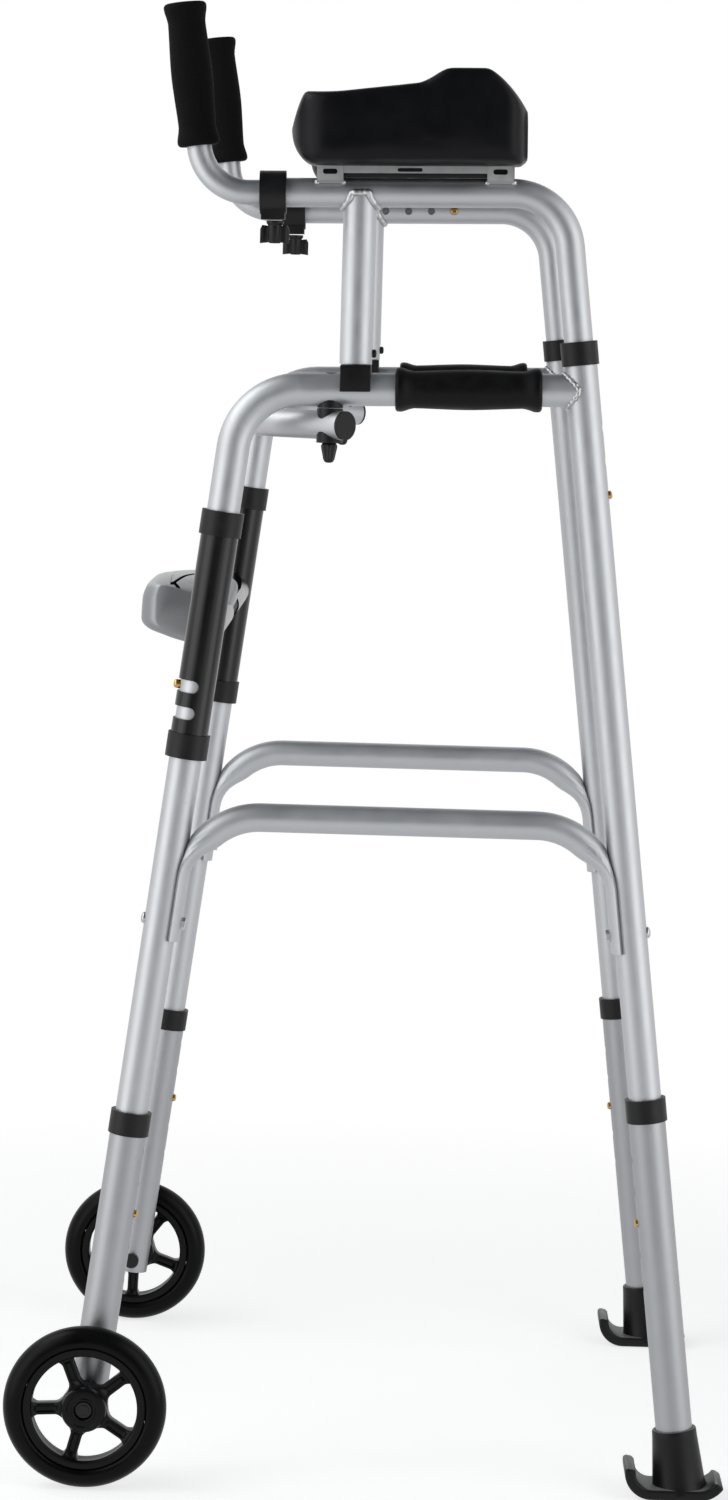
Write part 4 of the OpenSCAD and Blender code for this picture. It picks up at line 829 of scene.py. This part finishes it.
def hubRing(x):  # the housing's outline at x, drawn in toward the end faces
    h = foldHub
    u = abs(x) / h["half"]
    pts = []
    for y0, z0, y1, z1, keep in h["outline"]:
        t = min(1, max(0, (u - keep) / (1 - keep)))
        s = 1 - (1 - t * t) ** 0.6
        pts.append((y0 + (y1 - y0) * s, z0 + (z1 - z0) * s))
    count = len(pts)
    return smoothCurve(pts[-1:] + pts + pts[:1], 4 * (count + 1) + 1)[4:-5]


def hubTop(x, y):  # height of the housing's top above the point x, y
    ring = hubRing(x)
    best = 0
    for (ya, za), (yb, zb) in zip(ring, ring[1:] + ring[:1]):
        if min(ya, yb) <= y <= max(ya, yb) and abs(yb - ya) > 1e-6:
            best = max(best, za + (zb - za) * (y - ya) / (yb - ya))
    return best


def capMesh(grow, low, high):  # the button's plan carried between two offsets from the housing's top
    plan = foldHub["button"]
    ys = np.linspace(plan[0][0] - min(grow, foldHub["frontGap"]), plan[-1][0] + grow, 34)
    rings = []
    for y in ys:
        at = min(max(y, plan[0][0]), plan[-1][0])
        w = float(np.interp(at, [p[0] for p in plan], [p[1] for p in plan])) + grow
        w = min(w, foldHub["half"] - foldHub["rim"])
        xs = np.linspace(-w, w, 25)
        top = [(x, y, hubTop(x, at)) for x in xs]
        rings.append([(x, y, z + high) for x, y, z in top] + [(x, y, z + low) for x, y, z in reversed(top)])
    verts, faces = loft(rings)
    return [(x, y - midY, z) for x, y, z in verts], faces


def addHub():
    h = foldHub
    stops = [-1, -0.995, -0.98, -0.95, -0.91, -0.86, -0.8, -0.74, -0.68, -0.61, -0.54, -0.47, -0.4, -0.2, 0]
    stops += [-t for t in reversed(stops[:-1])]
    rings = [[(t * h["half"], y - midY, z) for y, z in hubRing(t * h["half"])] for t in stops]
    # the housing and the button take the hub material with its painted top light
    hub = newObject("foldHub", *loft(rings), finishes["hub_painted_top_light"])
    x0, y0, x1, y1, half = h["spur"]
    wellTop, spurTop = h["cutTop"]
    sink = h["spurSink"]
    # the cutters carry the painted groove shade onto the walls they cut, so the well and fork slot read black
    # as shaded gaps
    cutters = [newObject("wellCutter", *capMesh(h["gap"], -h["deep"], wellTop), finishes["groove"])]
    slot = ((-half, sink), (half, sink), (half, spurTop), (-half, spurTop))
    for s in (1, -1):
        ring = [[(s * x, y + d - midY, hubTop(x, y) + e) for d, e in slot] for x, y in ((x0, y0), (x1, y1))]
        cutters.append(newObject("spurCutter", *loft(ring), finishes["groove"]))
    for cutter in cutters:
        cut = hub.modifiers.new("well", "BOOLEAN")
        cut.operation, cut.object, cut.solver = "DIFFERENCE", cutter, "EXACT"
        cut.material_mode = "TRANSFER"
    applyModifiers(hub)
    for cutter in cutters:
        bpy.data.objects.remove(cutter)
    smoothShade(hub, 32)
    button = newObject("foldButton", *capMesh(0, -h["thick"], h["proud"]), finishes["hub_painted_top_light"])
    # painted shade: the button's side walls are near-black, standing in for the shadowed gap round it
    button.data.materials.append(finishes["groove"])
    for face in button.data.polygons:
        face.material_index = 1 if abs(face.normal.z) < 0.5 else 0
    smoothShade(button, 40)
    for obj, body, node in ((hub, "brace", "hub_housing"), (button, "fold_button", "fold_button")):
        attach(obj, body)
        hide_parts(node)
    print("fold hub")


addHub()

# bolts, guide pins and bar saddles of the side frames

frameBolts = {"braceZ": 441, "head": 4.5, "thick": 3, "tab": 3.6, "seat": 12.8, "pinZ": 623,
              "pinRadius": 3.5, "sleeve": 14.5, "pinOut": 3.2, "barY": 168.7, "barDrop": 27.2,
              "barDia": 22.2, "saddleDia": 20, "split": 0.5, "plugRadius": 4.6, "plugRise": 0.15,
              "plugSink": 0.6, "boltSink": 0.2, "boltRoot": 1.2, "headRim": 0.6, "pinRoot": 3,
              "nutScale": 1.05, "hollowGap": 0.12}


def domeHead(radius, thick):
    root, rim = -frameBolts["boltRoot"], frameBolts["headRim"]
    turns = [math.radians(a) for a in range(10, 90, 10)]
    dome = [(radius * math.cos(a), rim + (thick - rim) * math.sin(a)) for a in turns]
    return lathe([(0.01, root), (radius, root), (radius, rim)] + dome + [(0.01, thick)], 32)


def hexNut(radius, thick):
    levels = ((radius, -1.0), (radius, thick - 0.5), (radius - 0.6, thick))
    return loft([[(x, y, z) for x, y in circle(r, 6)] for r, z in levels])


def saddleMesh(low, radius, tubeDir, tubeCentre, tubeRadius):  # a round pad with its top hollowed by a tube
    rows, steps = 10, 40

    def follow(x, y):
        spot = Vector((x, y, 0))
        off = spot - Vector(tubeDir) * spot.dot(Vector(tubeDir))
        d = min(off.length, tubeRadius * 0.999)
        return tubeCentre - math.sqrt(tubeRadius ** 2 - d ** 2)

    grid = [circle(radius * j / rows, steps) for j in range(1, rows + 1)]
    plain = [[(x, y, low) for x, y in ring] for ring in grid]
    hollow = [[(x, y, follow(x, y)) for x, y in ring] for ring in reversed(grid)]
    return loft(plain + hollow)


def addBraceBolts():
    b = frameBolts
    zinc = []
    for point, up, back in ((frontPoint(b["braceZ"]), frontUp, 1), (rearPoint(b["braceZ"]), rearUp, -1)):
        across = up.cross(Vector((1, 0, 0)))
        across = across if across.y * back > 0 else -across
        headSeat = point - across * (b["seat"] - b["boltSink"])
        nutSeat = point + across * (b["seat"] + b["tab"])
        zinc.append(put(domeHead(b["head"], b["thick"]), basis(headSeat, -across, (1, 0, 0))))
        zinc.append(put(hexNut(b["head"] * b["nutScale"], b["thick"]), basis(nutSeat, across, (1, 0, 0))))
    sidePiece("braceBolts", joined(*zinc), "frame", "zinc", ["frame_bolts"], angle=35)


def addGuidePins():
    b = frameBolts
    ahead = Vector((0, -frontUp.z, frontUp.y))
    r, out, root = b["pinRadius"], b["pinOut"], -b["pinRoot"]
    pin = [(0.01, root), (r, root), (r, out - 2.2), (r - 0.3, out - 1.2), (r - 1.0, out - 0.4),
           (r - 2.0, out),
           (0.01, out + 0.1)]
    place = basis(frontPoint(b["pinZ"]) + ahead * b["sleeve"], ahead, (1, 0, 0))
    sidePiece("guidePin", put(lathe(pin, 40), place), "frame", "brass_clip", angle=35)


def addHandleSaddles():  # the pad over the front bar and the flush plug in the handle above it
    b = frameBolts
    axis = handlePoint(b["barY"])
    tube = walker["legDia"] / 2
    split = (axis.z - tube + axis.z - b["barDrop"] + b["barDia"] / 2) / 2 + b["split"] / 2
    saddle = saddleMesh(split, b["saddleDia"] / 2, railBack, axis.z, tube + b["hollowGap"])
    r, rise, sink = b["plugRadius"], b["plugRise"], -b["plugSink"]
    rings = []
    for size, lift in ((0.05, sink), (r, sink), (r, rise), (r / 2, rise), (0.05, rise)):
        rings.append([(x, y, math.sqrt((tube + lift) ** 2 - x * x) + y * riseSlope)
                      for x, y in circle(size, 32)])
    parts = put(saddle, Matrix.Translation((0, b["barY"], 0))), put(loft(rings), Matrix.Translation(axis))
    sidePiece("handleSaddle", joined(*parts), "frame", "black_plastic", edge=0.5, angle=35)


addBraceBolts()
addGuidePins()
addHandleSaddles()
print("frame bolts")

# thumb nuts under the front bar

thumbNut = {"below": 2.8, "ribs": 8, "rib": 0.06, "ribZone": (-12.6, -1.6),
            "profile": [(5.3, 0), (5.8, -1.0), (5.85, -3.2), (5.3, -6.2), (4.7, -9.2), (4.2, -12),
                        (3.75, -13.4), (3.0, -14.3), (1.6, -14.9), (0.05, -15.0)]}


def addThumbNuts():
    t, b = thumbNut, frameBolts
    rings = []
    for r, z in smoothCurve(t["profile"], 40):
        wave = t["rib"] if t["ribZone"][0] < z < t["ribZone"][1] else 0
        turns = [2 * math.pi * i / 64 for i in range(64)]
        ribbed = [r * (1 + wave * math.cos(t["ribs"] * a)) for a in turns]
        rings.append([(c * math.cos(a), c * math.sin(a), z) for c, a in zip(ribbed, turns)])
    top = handlePoint(b["barY"]).z - b["barDrop"] - b["barDia"] / 2 - t["below"]
    nut = put(loft(rings), Matrix.Translation((0, b["barY"], top)))
    sidePiece("thumbNut", nut, "thumb", "black_plastic", ["thumb_nut"], angle=50)
    print("thumb nuts")


addThumbNuts()

# posts with their saddle blocks

postSaddle = {"length": 23.4, "width": 34, "rise": 19, "skirt": 1.6, "stemRadius": 11.2, "stem": 98,
              "corner": 3, "buttonRise": 8.6, "buttonRadius": 3.2, "buttonOut": 2.6, "buttonRoot": 4,
              "fit": 0.3, "stemSink": 0.5}


def addPosts():
    p = postSaddle
    at = walker["postY"]
    axis = handlePoint(at)
    top, low = axis.z + p["rise"], axis.z - p["skirt"]
    bore = walker["legDia"] / 2 + p["fit"]
    half, c = p["width"] / 2, p["corner"]
    outline = [(-half, low), (-bore, low)] + arc(0, axis.z, bore, 180, 0, 18) + [(bore, low), (half, low)]
    outline += arc(half - c, top - c, c, 0, 90, 6) + arc(c - half, top - c, c, 90, 180, 6)
    ends = (-p["length"] / 2, p["length"] / 2)
    block = loft([[(x, at + y, z + y * riseSlope) for x, z in outline] for y in ends])
    sidePiece("postBlock", block, "post", "black_plastic", ["post_saddle"], edge=0.7, angle=30)
    r, h = p["stemRadius"], p["stem"]
    stem = lathe([(0.01, 0), (r, 0), (r, h - 1), (r - 1, h), (0.01, h)], 48)
    foot = Matrix.Translation((0, at, top - p["stemSink"]))
    sidePiece("postStem", put(stem, foot), "post", "anodised", angle=35)
    out, r = walker["legDia"] / 2 + p["buttonOut"], p["buttonRadius"]
    button = lathe([(r, p["buttonRoot"]), (r, out - 1), (r - 0.8, out), (0.01, out + 0.3)], 32)
    place = basis(Vector((0, at, top + p["buttonRise"])), (0, 1, 0), (1, 0, 0))
    sidePiece("postButton", put(button, place), "post", "black_plastic", angle=35)
    print("posts")


addPosts()

# wing knobs under the grip clamps

wingKnob = {"y": 123, "below": 21.4, "height": 17.6, "hubRadius": 5.4, "skirtRadius": 6.6, "span": 11.2,
            "turn": 62, "twist": 24, "thick": 4.6, "root": 2.5, "rings": 12, "roundedRings": 2,
            "round": 1.1}


def wingMesh(turn):
    k = wingKnob
    rings = []
    roundFrom = k["rings"] - k["roundedRings"]
    for i in range(k["rings"] + 1):
        t = i / k["rings"]
        r = k["root"] + (k["span"] - k["root"]) * t
        a = math.radians(turn + k["twist"] * t * t)
        tall = (k["height"] - 4) * (0.78 + 0.22 * math.sin(math.pi * min(1, t * 1.1) / 2))
        thick = k["thick"] * (1 - 0.12 * t)
        if i > roundFrom:  # the tip narrows
            tall, thick = tall - (i - roundFrom) * 1.3, thick - (i - roundFrom) * 1.2
        middle = -k["height"] + 0.4 + tall / 2 + 1.2 * (1 - t)
        rings.append([(r * math.cos(a) - c * math.sin(a), r * math.sin(a) + c * math.cos(a), middle + d)
                      for c, d in roundedRect(thick, tall, k["round"], 3)])
    return loft(rings)


def addKnobs():
    k = wingKnob
    hub, skirt, h = k["hubRadius"], k["skirtRadius"], k["height"]
    core = lathe([(0.01, 0), (skirt, 0), (skirt, -1.8), (hub, -3.4), (hub - 0.3, -h + 2),
                  (hub - 1.2, -h + 0.6),
                  (0.01, -h + 0.4)], 40)
    knob = joined(core, wingMesh(k["turn"]), wingMesh(k["turn"] + 180))
    top = railPoint(k["y"]) - Vector((0, 0, k["below"]))
    placed = put(knob, Matrix.Translation(top))
    sidePiece("wingKnob", placed, "knob", "black_plastic", ["wing_knob"], edge=0.4, angle=35)
    print("wing knobs")


addKnobs()

# pad boards inside the brackets, the brackets' pale faces round their tab slots, and painted shade for the
# mid slot

padBoard = {"start": 155.5, "length": 147, "half": 7.4, "low": 11.4, "high": 18.4, "slotY": 225,
            "slotLength": 19, "slotHeight": 2.8, "slotZ": 17.0, "face": 11.05, "plateLow": 14.6,
            "plateHigh": 20.4, "plateStart": 174.8, "plateLength": 108.4, "tabLow": 9.2, "tabFace": 12.05,
            "tabSlot": (11, 4), "tabSlotZ": 15.7, "slotSkin": (-0.3, 0.16), "skin": (-0.2, 0.1)}


def platePoints(outline, x, y, z):  # an outline set upright at x, y along the rail and z above its axis
    place = Matrix.Translation(railPoint(y)) @ railTilt
    return moved([(x, a, b + z) for a, b in outline], place)


def addPadBoards():
    b = padBoard
    section = roundedRect(2 * b["half"], b["high"] - b["low"], 1.0, 2)
    rings = [[(x, y, (b["low"] + b["high"]) / 2 + z) for x, z in section] for y in (0, b["length"])]
    dark = [put(loft(rings), Matrix.Translation(railPoint(b["start"])) @ railTilt)]
    bright = []
    slot = roundedRect(b["slotLength"], b["slotHeight"], b["slotHeight"] / 2 - 0.01, 5)
    plate = roundedRect(b["plateLength"], b["plateHigh"] - b["plateLow"], 0.8, 5)
    plateY, plateZ = b["plateStart"] + b["plateLength"] / 2, (b["plateLow"] + b["plateHigh"]) / 2
    tall = b["plateHigh"] - b["tabLow"]
    outer = roundedRect(walker["tabLength"], tall, 1.5, 6)
    inner = roundedRect(*b["tabSlot"], 1.9, 6)
    for s in (-1, 1):
        # painted shade: a thin near-black oval on each side of the bracket channel stands in for its shaded
        # mid slot
        dark.append(loft([platePoints(slot, s * (b["face"] + d), b["slotY"], b["slotZ"])
                          for d in b["slotSkin"]]))
        bright.append(loft([platePoints(plate, s * (b["face"] + d), plateY, plateZ) for d in b["skin"]]))
        back, front = (s * (b["tabFace"] + d) for d in b["skin"])
        for start in walker["tabStarts"]:
            y = start + walker["tabLength"] / 2
            rim = [platePoints(outer, x, y, b["tabLow"] + tall / 2) for x in (back, front)]
            hole = [platePoints(inner, x, y, b["tabSlotZ"]) for x in (front, back)]
            bright.append(loft(rim + hole, loop=True))
    sidePiece("padBoard", joined(*dark), "arm", "black_plastic", angle=35)
    sidePiece("bracketFaces", joined(*bright), "arm", "anodised", finish="bracket", angle=35)
    print("pad boards")


addPadBoards()

# painted shade in the holes along the rails: dark discs on the grip tube where it shows through them

railHoleShade = {"first": 261.5, "pitch": 20, "count": 3, "radius": 3.1, "tubeRadius": 9.5, "rise": 0.06,
             "sink": 0.3}


def addRailHoleShade():
    h = railHoleShade
    r, rise, sink = h["radius"], h["rise"], -h["sink"]
    rings = []
    for size, lift in ((0.05, sink), (r, sink), (r, rise), (r / 2, rise), (0.05, rise)):
        rings.append([(-math.sqrt((h["tubeRadius"] + lift) ** 2 - z * z), y, z)
                      for y, z in circle(size, 24)])
    spot = loft(rings)
    places = [railPoint(h["first"] - i * h["pitch"]) for i in range(1, h["count"] + 1)]
    shadeDiscs = joined(*[put(spot, Matrix.Translation(place)) for place in places])
    # painted shade: the discs take the dark hole shade colour in place of the shadow in each hole's recess
    sidePiece("railHoleShade", shadeDiscs, "grip", "anodised", finish="holeShade", angle=50)
    print("rail holes")


addRailHoleShade()

# weld beads

welds = {"bead": 2.1, "ripple": 0.4, "waves": 22, "postBead": 2.8, "postRipple": 0.25, "postWaves": 16,
         "postFlare": 0.3, "boreClear": 10.4, "handleSink": 0.5, "dotOut": 8.6, "dotUp": 7.6,
         "dot": [(0.01, -2.2), (1.5, -1.7), (2.3, 0), (1.5, 1.7), (0.01, 2.2)]}


def beadMesh(path, radius, ripple, waves):  # a rippled bead round a closed path
    rings = []
    n = len(path)
    for i in range(n):
        p = path[i]
        along = (path[(i + 1) % n] - path[i - 1]).normalized()
        x = Vector((1, 0.3, 0.2)).cross(along).normalized()
        y = along.cross(x)
        r = radius + ripple * math.sin(2 * math.pi * waves * i / n)
        rings.append([p + x * c + y * d for c, d in circle(r, 10)])
    return loft(rings, loop=True)


def saddlePath(radius, big, centre, axis, bigAxis, count=96):  # where a small tube meets a larger one
    x = Vector(bigAxis).normalized()
    z = Vector(axis).normalized()
    y = z.cross(x)
    deep = [(a, c, -math.sqrt(max(0, big ** 2 - c ** 2))) for a, c in circle(radius, count)]
    return [centre + x * a + y * c + z * d for a, c, d in deep]


def addWelds():
    w = welds
    tube, rail = walker["legDia"] / 2, walker["railDia"] / 2
    crown = railPoint(walker["postY"])
    ring = saddlePath(tube + w["postFlare"], rail, crown, (0, 0, 1), railBack)
    verts, faces = beadMesh(ring, w["postBead"], w["postRipple"], w["postWaves"])
    clear = []
    for v in verts:  # kept out of the rail's bore, where the grip tube slides
        d = v - crown
        off = d - railBack * d.dot(railBack)
        clear.append(v + off * (max(1, w["boreClear"] / off.length) - 1))
    sidePiece("postWeld", (clear, faces), "arm", "anodised", finish="weld", angle=60)
    ring = saddlePath(tube - w["handleSink"], tube, handlePoint(rearHandleY), railBack, rearUp)
    bead = beadMesh(ring, w["bead"], w["ripple"], w["waves"])
    sidePiece("handleWeld", bead, "frame", "anodised", finish="weld", angle=60)
    dots = []
    for y in [start + d for start in walker["tabStarts"] for d in (0, walker["tabLength"])]:
        for s in (-1, 1):
            at = railPoint(y) + Vector((s * w["dotOut"], 0, w["dotUp"]))
            dots.append(put(lathe(w["dot"], 14), basis(at, (s, 0, 0.4), (0, 1, 0))))
    sidePiece("tabWelds", joined(*dots), "arm", "anodised", finish="weld", angle=70)
    print("welds")


addWelds()
